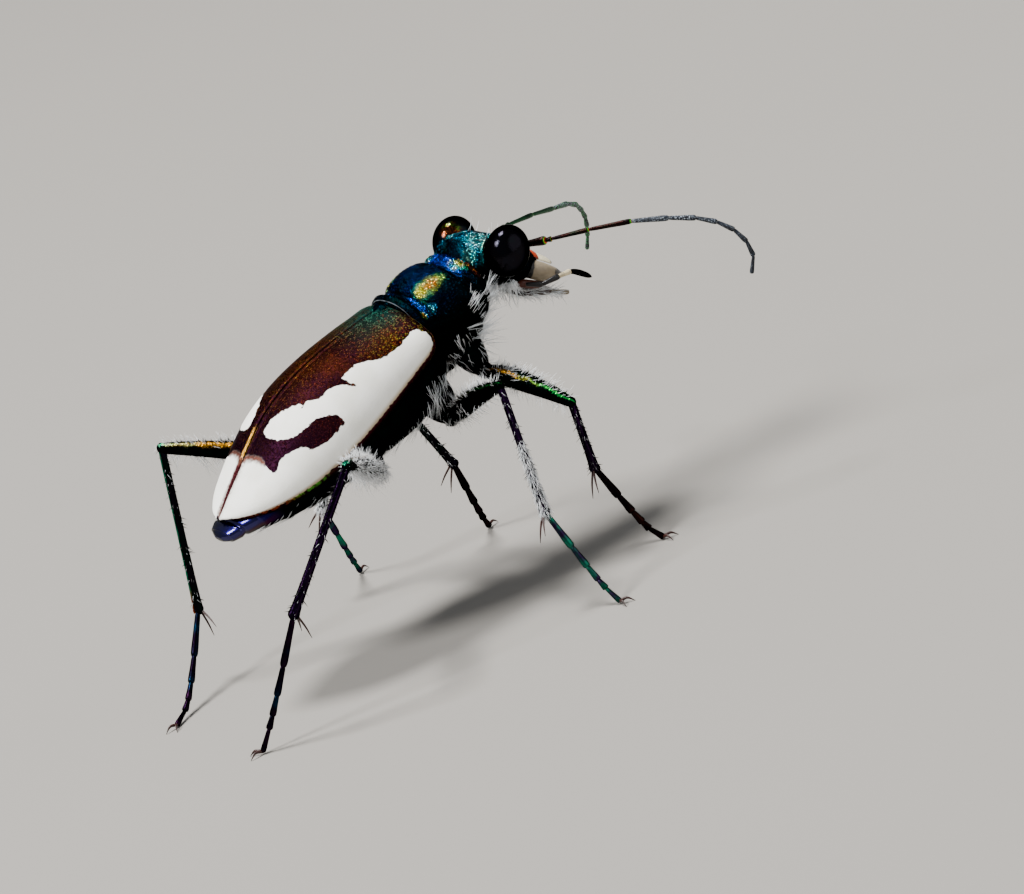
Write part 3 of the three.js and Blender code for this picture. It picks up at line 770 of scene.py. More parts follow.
def proRelief(x, y, z):
    p, side, upper = pronotum, np.abs(y), step(z, -1.3, -0.6)
    lift = -p["grooveDepth"] * bump(x, p["rearGroove"] + 0.06 * side, 0.06) * upper
    lift -= p["grooveDepth"] * bump(x, p["frontGroove"] - 0.10 * (1.2 - side), 0.055) * upper
    lift -= p["midLine"] * bump(y, 0, 0.045) * step(z, -0.4, 0) * step(x, 0.4, 0.7) * step(x, 2.0, 1.7)
    lift += p["rearRim"] * bump(x, 0.05, 0.04) + p["frontRim"] * bump(x, 2.45, 0.045)
    lift -= p["seamDepth"] * bump(z, p["sideSeam"] - 0.12 * (x - 1.2), 0.045)
    lift -= p["crease"] * bump(x, 1.3, 0.05) * step(z, -1.1, -1.5)  # above the coxa
    wrinkles = np.sin(x * 46 + 3 * np.sin(y * 5) + 2 * np.sin(y * 11))
    return lift + p["wrinkle"] * wrinkles * upper * step(x, 0.45, 0.6)


proGrid = carved(pronotum, proRelief)
finish = cuticleMaterial("prothorax cuticle", cuticle, pronotum["hueAndGlintPatches"], (1.8, 0.5, 0.5), (-0.45, -1.15))
makePiece("prothoraxSkin", [gridPart(proGrid, prothorax)], finish, ["prothorax"])

# A thin rim that edges the prothorax behind; its pale grey-blue is a painted highlight along the rim
collar = {"x": 0.015, "halfWidth": 1.20, "top": -0.01, "bottom": -1.80, "thick": 0.020, "points": 90,
          "squareness": 2.3, "color": "5c646a", "shade": "1c2428"}


def makeCollar(c):
    angle = np.linspace(0.02 * pi, 0.98 * pi, c["points"])
    middle, half = (c["top"] + c["bottom"]) / 2, (c["top"] - c["bottom"]) / 2
    y = squared(np.cos(angle), c["squareness"]) * c["halfWidth"]
    z = middle + squared(np.sin(angle), c["squareness"]) * half
    path = np.stack([np.full(c["points"], c["x"]), y, z], 1)
    widths = [c["thick"]] * c["points"]
    tube = sweep(path, widths, 10, 170, [w * 0.8 for w in widths], up=(1, 0, 0))
    material, tree = newMaterial("collar rim highlight", roughness=0.4)
    spot = attribute(tree, "spot")
    # pale grey-blue with darker random patches: the pale is a painted highlight
    tone = mixed(drift(spot, 6.0, 0.4, 0.62), c["color"], c["shade"])
    dressed(material, tone, noise(spot, 24.0), reliefs["collar"])
    makePiece("collarMembrane", [gridPart(tube, prothorax)], material, ())


makeCollar(collar)

shield = {"front": 0.24, "half": 0.3, "rear": -0.46, "top": -0.02, "height": 0.3, "rings": 13, "points": 20}


def makeShield(s):
    t = np.linspace(0, 1, s["rings"])[:, None]
    angle = np.linspace(0, 2 * pi, s["points"], endpoint=False)[None]
    x = s["front"] + (s["rear"] - s["front"]) * t
    y = squared(np.cos(angle), 3) * (s["half"] * (1 - t) ** 0.8 + 0.012)
    z = s["top"] - s["height"] / 2 + squared(np.sin(angle), 3) * s["height"] / 2 * (1 - 0.1 * t)
    z = z + 0.12 * step(x, -0.5, 0.2) - 0.04
    return gridPart(np.stack([np.repeat(x, s["points"], 1), y, z], -1), body)


shieldMaterial = cuticleMaterial("shield cuticle", cuticle, [], (1.0, 1.0, 1.0))
makePiece("shield", [makeShield(shield)], shieldMaterial, ["scutellum"])
print("prothorax made")

# Trunk: hind thorax and abdomen in one skin
trunk = {
    "rows": [
        [0.62, 1.02, -0.62, -2.20], [0.10, 1.45, -0.50, -2.72], [-0.60, 1.74, -0.40, -2.98],
        [-1.60, 1.86, -0.40, -3.04], [-2.80, 1.94, -0.40, -2.80], [-4.00, 1.98, -0.40, -2.52],
        [-5.20, 1.88, -0.45, -2.18], [-6.20, 1.56, -0.55, -1.82], [-7.00, 1.12, -0.66, -1.48],
        [-7.40, 0.80, -0.74, -1.34], [-7.76, 0.50, -0.82, -1.20], [-7.90, 0.22, -0.92, -1.10],
    ],
    "squareness": 2.5,
    "steps": 240,
    "points": 108,
    "waist": -2.9,
    "rings": [-3.55, -4.30, -5.00, -5.68, -6.32, -6.95],
    "ringStep": 0.05,
    "seamDepth": 0.06,
    "waistDepth": 0.07,
    "midLine": 0.05,
    "lastRing": 0.05,
    "tip": "170f50",
    "tipEdge": "30080c",
    "black": "010102",
    "greenBlack": "010604",
    "blueBlack": "01020a",
}


def trunkRelief(x, y, z):
    c, lift = trunk, np.zeros(x.shape)
    edges = [c["waist"], *c["rings"], -7.75]
    for ahead, behind in zip(edges, edges[1:]):
        t = np.clip((ahead - x) / (ahead - behind), 0, 1)
        lift += np.where((x <= ahead) & (x > behind), c["ringStep"] * (t**2 - 0.4), 0)
    plates = step(x, -2.95, -2.75)
    lift -= c["seamDepth"] * plates * bump(z, -1.72 - 0.05 * x, 0.05)  # along the side of the hind thorax
    lift -= c["seamDepth"] * plates * bump(x, -0.95 - 0.15 * (z + 2), 0.05) * step(z, -1.5, -1.8)  # across it
    lift -= c["waistDepth"] * bump(x, c["waist"], 0.06)
    lift -= c["midLine"] * bump(y, 0, 0.05) * step(z, -2.0, -2.4) * plates  # along the underside
    return lift - c["lastRing"] * bump(x, -7.42, 0.05)


def trunkMaterial(c):
    material, tree = newMaterial("trunk cuticle", metallic=1.0, edge=0.1, coatRoughness=0.08)
    spot = attribute(tree, "spot")
    x, _, z = axesOf(spot)
    color = threeHues(spot, 0.8, c["black"], c["greenBlack"], c["blueBlack"])
    rear = ranged(x, -6.3, -7.1)
    color = mixed(rear, color, c["tip"])
    color = mixed(product(rear, ranged(z, -1.02, -1.14)), color, c["tipEdge"])
    grain = grains(spot, 8.0, 0.7, 0.4)
    rough = total(ranged(x, -6.0, -7.0, 0.36, 0.22), product(grain["Pits"], 0.05))
    height = product(grain["Height"], ranged(x, -6.2, -7.2, 1.0, 0.25))
    coat = ranged(x, -6.8, -7.1, 0.0, 0.6)
    return dressed(material, color, height, reliefs["trunk"], roughness=rough, coat=coat)


trunkGrid = carved(trunk, trunkRelief)
trunkNodes = ["pterothorax", "abdomen"]
makePiece("trunkSkin", [gridPart(trunkGrid, body)], trunkMaterial(trunk), trunkNodes)
print("trunk made")

# Head
headSizes = {
    "rows": [
        [-1.16, 0.74, 0.22, -0.62], [-0.82, 0.94, 0.42, -0.84], [-0.36, 1.02, 0.54, -0.98],
        [0.14, 1.02, 0.58, -1.00], [0.62, 0.98, 0.50, -0.94], [1.08, 0.88, 0.32, -0.84],
        [1.46, 0.70, 0.12, -0.70],
    ],
    "squareness": 2.4,
    "steps": 120,
    "points": 132,
    "hollow": 0.15,
    "brow": 0.05,
    "neckGroove": 0.06,
    "clypeusGroove": 0.05,
    "socket": 0.09,
    "throatGroove": 0.04,
    "eyeRim": 0.05,
    "wrinkle": 0.008,
    "eyeSpot": (-0.06, 1.34, 0.12),
    "eyeHalf": (0.65, 0.64, 0.76),
    "facetsPerMm": 30.0,
    "eyeHues": ("14141a", "141216", "101618"),
    # copper, gold and green painted reflection, strong on the left eye, weak on the right
    "paintedEyeSheen": {"left": 0.9, "right": 0.1},
    "paintedSheenSpot": ((-0.50, 1.02, 0.50), (0.34, 0.32, 0.28)),
    "paintedSheenHues": ("1a0806", "84431c", "5c7c24"),
    # bright cyan and green patches on the crown, neck and temples: painted glints and highlights
    "hueAndGlintPatches": [
        ((-0.56, 0.60, 0.36), (0.46, 0.48, 0.5), "0890b4", "10d4dc", "d4fff8", 1.0),
        ((-0.60, 0.92, 0.05), (0.10, 0.10, 0.3), "2a9a80", "60d890", "e8ffc0", 0.5),
        ((-0.98, 0.80, -0.14), (0.22, 0.18, 0.36), "08607c", "10a8a0", "a8ffe0", 0.5),
    ],
}


def eyeDistance(x, y, z):
    (cx, cy, cz), (hx, hy, hz) = headSizes["eyeSpot"], headSizes["eyeHalf"]
    return np.sqrt(((x - cx) / hx) ** 2 + ((np.abs(y) - cy) / hy) ** 2 + ((z - cz) / hz) ** 2)


def headRelief(x, y, z):
    c, upper, side = headSizes, step(z, -0.1, 0.2), np.abs(y)
    lift = -c["hollow"] * bump(x, 0.45, 0.5) * bump(y, 0, 0.40) * upper  # between the eyes
    lift += c["brow"] * bump(side, 0.70, 0.12) * bump(x, 0.15, 0.55) * upper
    lift -= c["neckGroove"] * bump(x, -0.98, 0.08)
    lift -= c["clypeusGroove"] * bump(x, 1.12 + 0.1 * side, 0.035) * upper
    lift -= c["socket"] * bump(x, 0.98, 0.14) * bump(side, 0.70, 0.14) * bump(z, 0.1, 0.3)  # of the feeler
    lift -= c["throatGroove"] * bump(side, 0.28, 0.04) * step(z, -0.5, -0.8)
    lift += c["eyeRim"] * bump(eyeDistance(x, y, z), 1.12, 0.06)
    wrinkles = np.sin(side * 70 + 2 * np.sin(x * 6))
    return lift + c["wrinkle"] * wrinkles * upper * step(x, -0.7, -0.3) * step(x, 1.0, 0.8)


def eyeGrid(side):
    (cx, cy, cz), (hx, hy, hz) = headSizes["eyeSpot"], headSizes["eyeHalf"]
    tilt = np.linspace(0.02, pi - 0.02, 49)[:, None]
    turn = np.linspace(0, 2 * pi, 72, endpoint=False)[None]
    x, z = np.sin(tilt) * np.cos(turn) * hx + cx, np.sin(tilt) * np.sin(turn) * hz + cz
    return np.stack([x, side * (np.cos(tilt) * hy * np.ones_like(turn) + cy), z], -1)


def eyeMaterial(c, side):
    material, tree = newMaterial(f"eye {side}", roughness=0.09, metallic=1.0, edge=0.06)
    spot = attribute(tree, "spot")
    links = {"Vector": spot, "Scale": c["facetsPerMm"]}
    facets = addNode("ShaderNodeTexVoronoi", links, feature="F1").outputs
    pick = addNode("ShaderNodeSeparateColor", {"Color": facets["Color"]}).outputs[0]
    # copper, gold and green facets of the painted reflection
    copper = mixed(drift(spot, 3.6, 0.45, 0.55, 2.0), *c["paintedSheenHues"][1:])
    copper = mixed(ranged(pick, 0.3, 0.9), c["paintedSheenHues"][0], copper)
    glow = product(patched(spot, *c["paintedSheenSpot"], 1.1, 3.5), c["paintedEyeSheen"][side])
    color = mixed(glow, threeHues(spot, 1.4, *c["eyeHues"]), copper)
    return dressed(material, color, facets["Distance"], reliefs["eye"], 0.5)


headMaterial = cuticleMaterial("head cuticle", cuticle, headSizes["hueAndGlintPatches"], (0.5, 1.6, 0.5), (-0.3, -0.6))
headGrid = carved(headSizes, headRelief)
makePiece("headSkin", [gridPart(headGrid, head)], headMaterial, ["head"])
for sideName, way in bothSides.items():
    finish = eyeMaterial(headSizes, sideName)
    makePiece(f"eyeBall_{sideName}", [gridPart(eyeGrid(way), head)], finish, [f"eye_{sideName}"])

# Mouth
mouth = {
    "labrum": {"x": 1.52, "length": 0.70, "half": 0.62, "z": 0.01, "thick": 0.13, "teeth": 0.05, "bow": 0.14,
               "fall": 0.16},
    "clypeus": {"x": 1.34, "length": 0.32, "half": 0.66, "z": 0.08, "thick": 0.2},
    "plateRings": 41,
    "platePoints": 20,
    "mandible": [
        [1.30, 0.62, -0.40], [1.66, 0.74, -0.46], [2.10, 0.68, -0.50], [2.50, 0.42, -0.54],
        [2.80, 0.06, -0.52],
    ],
    "mandibleWide": [0.24, 0.23, 0.18, 0.10, 0.02],
    "mandibleHigh": [0.28, 0.27, 0.20, 0.11, 0.02],
    "teeth": [(0.62, 0.30), (0.74, 0.26), (0.86, 0.2)],
    "toothWide": [0.09, 0.06, 0.015],
    "toothHigh": [0.10, 0.07, 0.015],
    "galea": [[1.10, 0.55, -0.84], [1.50, 0.70, -0.84], [1.92, 0.60, -0.78]],
    "galeaWide": [0.12, 0.12, 0.07],
    "galeaHigh": [0.13, 0.12, 0.06],
    "maxillary": [
        [1.00, 0.92, -0.84], [1.40, 1.14, -0.80], [1.82, 1.26, -0.56], [2.22, 1.28, -0.37],
        [2.75, 1.14, -0.40], [3.26, 0.98, -0.50],
    ],
    "maxillaryShares": [0.19, 0.22, 0.17, 0.42],
    "maxillaryWide": [0.17, 0.18, 0.17, 0.19],
    "maxillaryTip": [0.05, 0.082, 0.092, 0.075, 0.022],
    "labial": [[0.95, 0.30, -1.12], [1.45, 0.36, -1.16], [2.05, 0.44, -1.04], [2.85, 0.48, -1.02]],
    "labialShares": [0.25, 0.42, 0.33],
    "labialWide": [0.16, 0.18, 0.15],
}


# A bowed plate that falls towards its front edge, with teeth along it
def plateGrid(x, length, half, z, thick, teeth=0.0, bow=0.12, fall=0.10):
    t = np.linspace(-1, 1, mouth["plateRings"])[:, None]
    angle = np.linspace(0, 2 * pi, mouth["platePoints"], endpoint=False)[None]
    reach = length * (1 - 0.35 * t**4) + teeth * np.cos(3 * pi * t) * (1 - np.abs(t)) ** 0.3
    px = x + reach / 2 + squared(np.cos(angle), 3.2) * reach / 2
    low = bow * t * t + fall * np.clip((px - x) / length, 0, 1) ** 2
    pz = z - low + squared(np.sin(angle), 2.6) * thick / 2 * np.maximum(1 - np.abs(t) ** 8, 0.05)
    return np.stack([px, np.repeat(t * half, mouth["platePoints"], 1), pz], -1)


def shaded(code, share):
    return tuple(v * share for v in rgb(code))


# Pale at the value start, dark at the value end
def mouthMaterial(name, pale, dark, start, end, roughness=0.38):
    material, tree = newMaterial(name, roughness=roughness, specular=0.35)
    spot = attribute(tree, "spot")
    stain = total(attribute(tree, "value", "Fac"), wobble(spot, 5.0, 0.3))
    tone = mixed(drift(spot, 3.0, 0.35, 0.7, 4.0), pale, shaded(pale, 0.72))
    color = mixed(ranged(stain, start, end), tone, dark)
    return dressed(material, color, grains(spot, 14.0, 0.5, 0.5)["Height"], reliefs["mouth"])


def rootToTip(grid):
    return np.repeat(np.linspace(0, 1, grid.shape[0])[:, None], grid.shape[1], 1)


labrumMaterial = mouthMaterial("labrum ivory", "f2e6c2", "2a0e08", 0.80, 0.95)
clypeusMaterial = mouthMaterial("clypeus membrane", "b83c10", "1a0a06", 2.0, 3.0)
mandibleMaterial = mouthMaterial("mandible", "978870", "050303", 0.43, 0.53, 0.3)
galeaMaterial = mouthMaterial("galea", "4e1c0a", "0c0604", 0.45, 0.9)

grid = plateGrid(**mouth["labrum"])
forward = (grid[..., 0] - mouth["labrum"]["x"]) / mouth["labrum"]["length"]
makePiece("labrumPlate", [gridPart(grid, head, forward)], labrumMaterial, ["labrum"])
grid = plateGrid(**mouth["clypeus"])
makePiece("clypeusPlate", [gridPart(grid, head)], clypeusMaterial, ())


def makeJaw(c, sideName, way):
    path = np.array(c["mandible"]) * (1, way, 1)
    jaw = sweep(path, c["mandibleWide"], 24, 40, c["mandibleHigh"])
    along = rootToTip(jaw)
    parts = [gridPart(jaw, head, np.maximum(along, 1 - along / 0.24))]  # dark at its root and tip
    line = smoothRows(path, 40)
    for share, size in c["teeth"]:
        root = line[int(share * 40)]
        tip = root + (0.10, -way * size, 0)
        tooth = sweep([root, (root + tip) / 2, tip], c["toothWide"], 12, 8, c["toothHigh"])
        parts.append(gridPart(tooth, head, np.ones(tooth.shape[:2])))
    makePiece(f"mandibleJaw_{sideName}", parts, mandibleMaterial, [f"mandible_{sideName}"])
    lobe = sweep(np.array(c["galea"]) * (1, way, 1), c["galeaWide"], 16, 18, c["galeaHigh"])
    makePiece(f"galea_{sideName}", [gridPart(lobe, head, rootToTip(lobe))], galeaMaterial, ())


for sideName, way in bothSides.items():
    makeJaw(mouth, sideName, way)
print("head made")


def strewTree():
    tree, source, out = newGroup("strew shapes", [
        ("Roots", "Geometry", None), ("Shape", "Object", None), ("Patch", "Float", 0.003),
        ("Unevenness", "Float", 0.2), ("Seed", "Int", 3), ("Finish", "Material", None),
    ], [("Geometry", "Geometry")], "GeometryNodeTree")

    def named(label):
        node = addNode("GeometryNodeInputNamedAttribute", {"Name": label}, tree, data_type="FLOAT_VECTOR")
        return node.outputs[0]

    def scaled(label, factor):
        links = {0: named(label), "Scale": factor}
        return addNode("ShaderNodeVectorMath", links, operation="SCALE").outputs[0]

    uneven = addNode("FunctionNodeRandomValue", {}, tree, data_type="FLOAT")
    low = maths("SUBTRACT", 1.0, source["Unevenness"])
    high = total(source["Unevenness"], 1.0)
    for key, value in (("Min_001", low), ("Max_001", high), ("Seed", source["Seed"])):
        feed(socketOf(uneven.inputs, key), value)
    shapes = addNode("GeometryNodeInstanceOnPoints", {
        "Points": source["Roots"],
        "Instance": addNode("GeometryNodeObjectInfo", {"Object": source["Shape"]}).outputs["Geometry"],
        "Rotation": addNode("FunctionNodeEulerToRotation", {0: named("turn")}).outputs[0],
        "Scale": scaled("size", socketOf(uneven.outputs, "Value_001")),
    }).outputs[0]
    real = addNode("GeometryNodeRealizeInstances", {0: shapes}).outputs[0]
    links = {0: named("bakeSpot"), 1: scaled("shapeMap", source["Patch"])}
    place = addNode("ShaderNodeVectorMath", links, operation="ADD").outputs[0]
    links = {"Geometry": real, "Name": "OFBake", "Value": place}
    stored = addNode("GeometryNodeStoreNamedAttribute", links, data_type="FLOAT2", domain="CORNER")
    links = {"Geometry": stored.outputs[0], "Material": source["Finish"]}
    feed(out[0], addNode("GeometryNodeSetMaterial", links).outputs[0])
    return tree


strewNodes = strewTree()


# The small shapes stand along +Z, one unit long and one unit wide, and hairs bend towards +X
def smallShape(name, profile, sides, bend=0.0):
    height, radius = (np.array(row, float)[:, None] for row in zip(*profile))
    angle = np.linspace(0, 2 * pi, sides, endpoint=False)[None]
    x, y = np.cos(angle) * radius / 2 + bend * height**2, np.sin(angle) * radius / 2
    part = gridPart(np.stack([x, y, np.repeat(height, sides, 1)], -1))
    mesh = bpy.data.meshes.new(name)
    mesh.from_pydata(part["points"].tolist(), [], part["faces"])
    mesh.uv_layers.new(name="shapeMap").data.foreach_set("uv", part["maps"].ravel())
    mesh.polygons.foreach_set("use_smooth", np.ones(len(mesh.polygons), bool))
    return bpy.data.objects.new(name, mesh)


lockShape = smallShape("lock", [(0, 1), (0.25, 0.95), (0.5, 0.8), (0.75, 0.55), (1, 0.12)], 3, 0.42)
hairShape = smallShape("hair", [(0, 1), (0.35, 0.9), (0.7, 0.65), (1, 0.15)], 3, 0.26)
spineShape = smallShape("spine", [(0, 1), (0.5, 0.7), (1, 0.1)], 5)
linkProfile = [
    (0, 0.45), (0.03, 0.62), (0.12, 0.74), (0.45, 0.84), (0.8, 1.0), (0.93, 0.98), (0.985, 0.8), (1.0, 0.5),
]
linkShape = smallShape("link", linkProfile, 14)


# Turns +Z to each direction and +X towards the side it bends to
def turnsFor(directions, bends):
    turns = []
    for direction, bend in zip(directions, bends):
        z = Vector(direction).normalized()
        x = Vector(bend) - z * Vector(bend).dot(z)
        x = x.normalized() if x.length > 1e-6 else z.orthogonal().normalized()
        turns.append(Matrix((x, z.cross(x), z)).transposed().to_euler())
    return np.array([tuple(t) for t in turns])


# Sets a shape on each root of a growth and makes one plain mesh of them
def strew(name, growth, shape, finish, seed, unevenness=0.2, nodes=()):
    mesh = bpy.data.meshes.new(name)
    mesh.from_pydata((growth["roots"] * toMetres).tolist(), [], [])
    store(mesh, "turn", "FLOAT_VECTOR", "vector", turnsFor(growth["directions"], growth["bends"]))
    store(mesh, "size", "FLOAT_VECTOR", "vector", growth["sizes"] * toMetres)
    store(mesh, "bakeSpot", "FLOAT_VECTOR", "vector", growth["spots"])
    if "ranks" in growth:
        store(mesh, "rank", "FLOAT", "value", growth["ranks"])
    made = bpy.data.objects.new(name, mesh)
    bpy.context.scene.collection.objects.link(made)
    modifier = made.modifiers.new("strew", "NODES")
    modifier.node_group = strewNodes
    values = {"Shape": shape, "Unevenness": unevenness, "Seed": seed, "Finish": finish}
    for socket in strewNodes.interface.items_tree:
        if socket.in_out == "INPUT" and socket.name in values:
            modifier[socket.identifier] = values[socket.name]
    graph = bpy.context.evaluated_depsgraph_get()
    ready = made.evaluated_get(graph)
    made.data = bpy.data.meshes.new_from_object(ready, preserve_all_data_layers=True, depsgraph=graph)
    made.modifiers.clear()
    return settle(made, nodes)


# Legs
legs = {
    "hips": {"front": (1.01, 0.9, -3.4), "middle": (-0.69, 1.0, -3.6), "hind": (-3.45, 1.2, -2.88)},
    "coxaRise": {"front": 1.5, "middle": 1.5, "hind": 1.3},
    "coxaWide": {
        "front": [0.50, 0.54, 0.40, 0.24],
        "middle": [0.58, 0.60, 0.44, 0.26],
        "hind": [0.62, 0.56, 0.36, 0.22],
    },
    # knee, ankle, toe on the floor, and how far the foot sags between the last two
    "joints": {
        "front_right": ((2.76, -3.16, 4.82), (3.01, -2.55, 2.52), (3.72, -3.72), 0.26),
        "middle_right": ((0.47, -3.95, 6.51), (-0.06, -4.88, 2.91), (0.37, -6.51), 0.20),
        "hind_right": ((-5.09, -4.68, 6.81), (-7.86, -3.90, 3.50), (-9.85, -2.95), 0.06),
        "front_left": ((0.81, 3.61, 5.00), (1.68, 3.57, 2.65), (2.45, 4.46), 0.20),
        "middle_left": ((-0.32, 4.51, 6.11), (-2.13, 5.08, 2.88), (-1.11, 6.52), 0.12),
        "hind_left": ((-6.49, 4.15, 7.11), (-7.28, 4.23, 2.24), (-9.90, 2.45), 0.30),
    },
    "trochanter": [0.2, 0.25, 0.17],
    "femurWide": [0.20, 0.27, 0.27, 0.22, 0.16, 0.145],
    "femurHigh": [0.22, 0.30, 0.30, 0.24, 0.17, 0.155],
    "femurBow": [(0, 0), (0.2, 0.06), (0.45, 0.10), (0.75, 0.07)],
    "tibiaWide": [0.105, 0.115, 0.115, 0.12, 0.135, 0.165],
    "tarsusShares": [0.36, 0.22, 0.15, 0.10, 0.17],
    "tarsusWide": [0.22, 0.21, 0.20, 0.20, 0.17],
    "frontTarsusWider": 1.15,
    "toeHeight": 0.085,
    "spur": 0.82,
    "spurWide": [0.035, 0.028, 0.008],
    "claw": 0.46,
    "clawTurn": 26,
    "clawWide": [0.045, 0.032, 0.007],
    "clawHigh": [0.05, 0.038, 0.007],
    # pale ring at the tibia's root: painted highlight at the knee
    "kneeHighlightRing": "b89868",
    # for each femur's painted highlight stripes: hue at the tip, strength, where the hue turns, width
    "highlightStripes": {
        "front": ("1aa040", 0.95, (0.25, 0.62), 0.058),
        "middle": ("1aa040", 0.18, (0.25, 0.62), 0.05),
        "hind": ("16a078", 0.80, (0.55, 0.95), 0.095),
    },
}


# Near-black cuticle with a granular stripe to each side of the top, from one hue at the root to another. The
# stripe is a painted highlight and glow sets its strength; the pale ring at the root, which joint turns on
# for the tibiae, is a painted highlight at the knee.
def legMaterial(name, dark, mid, rootHue, tipHue, glow, joint=0.0, turn=(0.25, 0.62), wide=0.058):
    material, tree = newMaterial(name, metallic=1.0, edge=0.15)
    spot = attribute(tree, "spot")
    around, along, _ = axesOf(addNode("ShaderNodeUVMap", {}, tree, uv_map="skinMap").outputs[0])
    color = threeHues(spot, 0.9, dark, mid, dark)
    grain = grains(spot, 14.0, 0.8, 0.4)
    fromTop = maths("ABSOLUTE", total(around, -0.25, wobble(spot, 2.5, 0.16)))
    ridge = ranged(maths("ABSOLUTE", total(fromTop, -0.10)), wide, wide * 0.15)
    onward = total(along, wobble(spot, 2.0, 0.5))
    hue = mixed(ranged(onward, *turn), rootHue, tipHue)
    granular = total(product(grain["Glint"], 1.4), ranged(ridge, 0.5, 1.0, 0.05, 0.65))
    color = mixed(capped(product(ridge, granular, glow)), color, hue)
    color = mixed(product(ranged(along, 0.035, 0.015), joint), color, legs["kneeHighlightRing"])
    rough = total(product(grain["Pits"], 0.12), 0.24)
    return dressed(material, color, grain["Height"], reliefs["leg"], roughness=rough)


coxaMaterial = legMaterial("coxa cuticle", "010102", "020806", "04181a", "06281c", 0.5)
femurMaterials = {
    pair: legMaterial(f"{pair} femur cuticle", "010102", "020a07", "a87418", tipHue, glow, 0.0, turn, wide)
    for pair, (tipHue, glow, turn, wide) in legs["highlightStripes"].items()
}
# The sides differ in hue because each faces the light differently: painted reflection over the metal's own
# dark hues.
leftTibia = ("left tibia cuticle", "0a0610", "03100a", "0c7a58", "a04a18")
rightTibia = ("right tibia cuticle", "14061c", "08050e", "3a1448", "2a1430")
tibiaMaterials = {
    "left": legMaterial(*leftTibia, 1.15, 0.9, (0.62, 0.95), 0.085),
    "right": legMaterial(*rightTibia, 0.6, 0.9),
}
spurMaterial = mouthMaterial("spur", "30120a", "120604", 0.3, 1.2)


def tarsusMaterial(name, *hues):
    material, tree = newMaterial(name, metallic=1.0, roughness=0.28, edge=0.15)
    spot = worldSpot(tree)
    return dressed(material, threeHues(spot, 1.1, *hues), noise(spot, 22.0), reliefs["foot"])


tarsusMetals = {
    "front": tarsusMaterial("front tarsus cuticle", "180a10", "050304", "220e0a"),
    "middle": tarsusMaterial("middle tarsus cuticle", "0c6a50", "280c34", "0a4a38"),
    "hind": tarsusMaterial("hind tarsus cuticle", "1c0a1c", "0a0410", "051c2e"),
}
legSkins = {}


# Links along a line, each given its share of the length, with a small overlap
def linkRows(line, shares, widths, overlap):
    lengths = np.linalg.norm(np.diff(line, axis=0), axis=1)
    run = np.concatenate([[0], np.cumsum(lengths)]) / lengths.sum()
    ends = np.concatenate([[0], np.cumsum(shares)]) / np.sum(shares)
    at = np.stack([np.interp(ends, run, line[:, i]) for i in range(3)], 1)
    span = np.diff(at, axis=0)
    size = np.linalg.norm(span, axis=1)
    count = len(size)
    return {
        "roots": at[:-1], "directions": span / size[:, None],
        "bends": np.tile([0.0, 0.0, 1.0], (count, 1)),
        "sizes": np.stack([widths, widths, size * (1.0 + overlap)], 1),
        "spots": np.stack([np.linspace(0.1, 0.9, count), np.full(count, 0.5), np.zeros(count)], 1),
        "ranks": (np.arange(count) + 0.5) / count,
    }


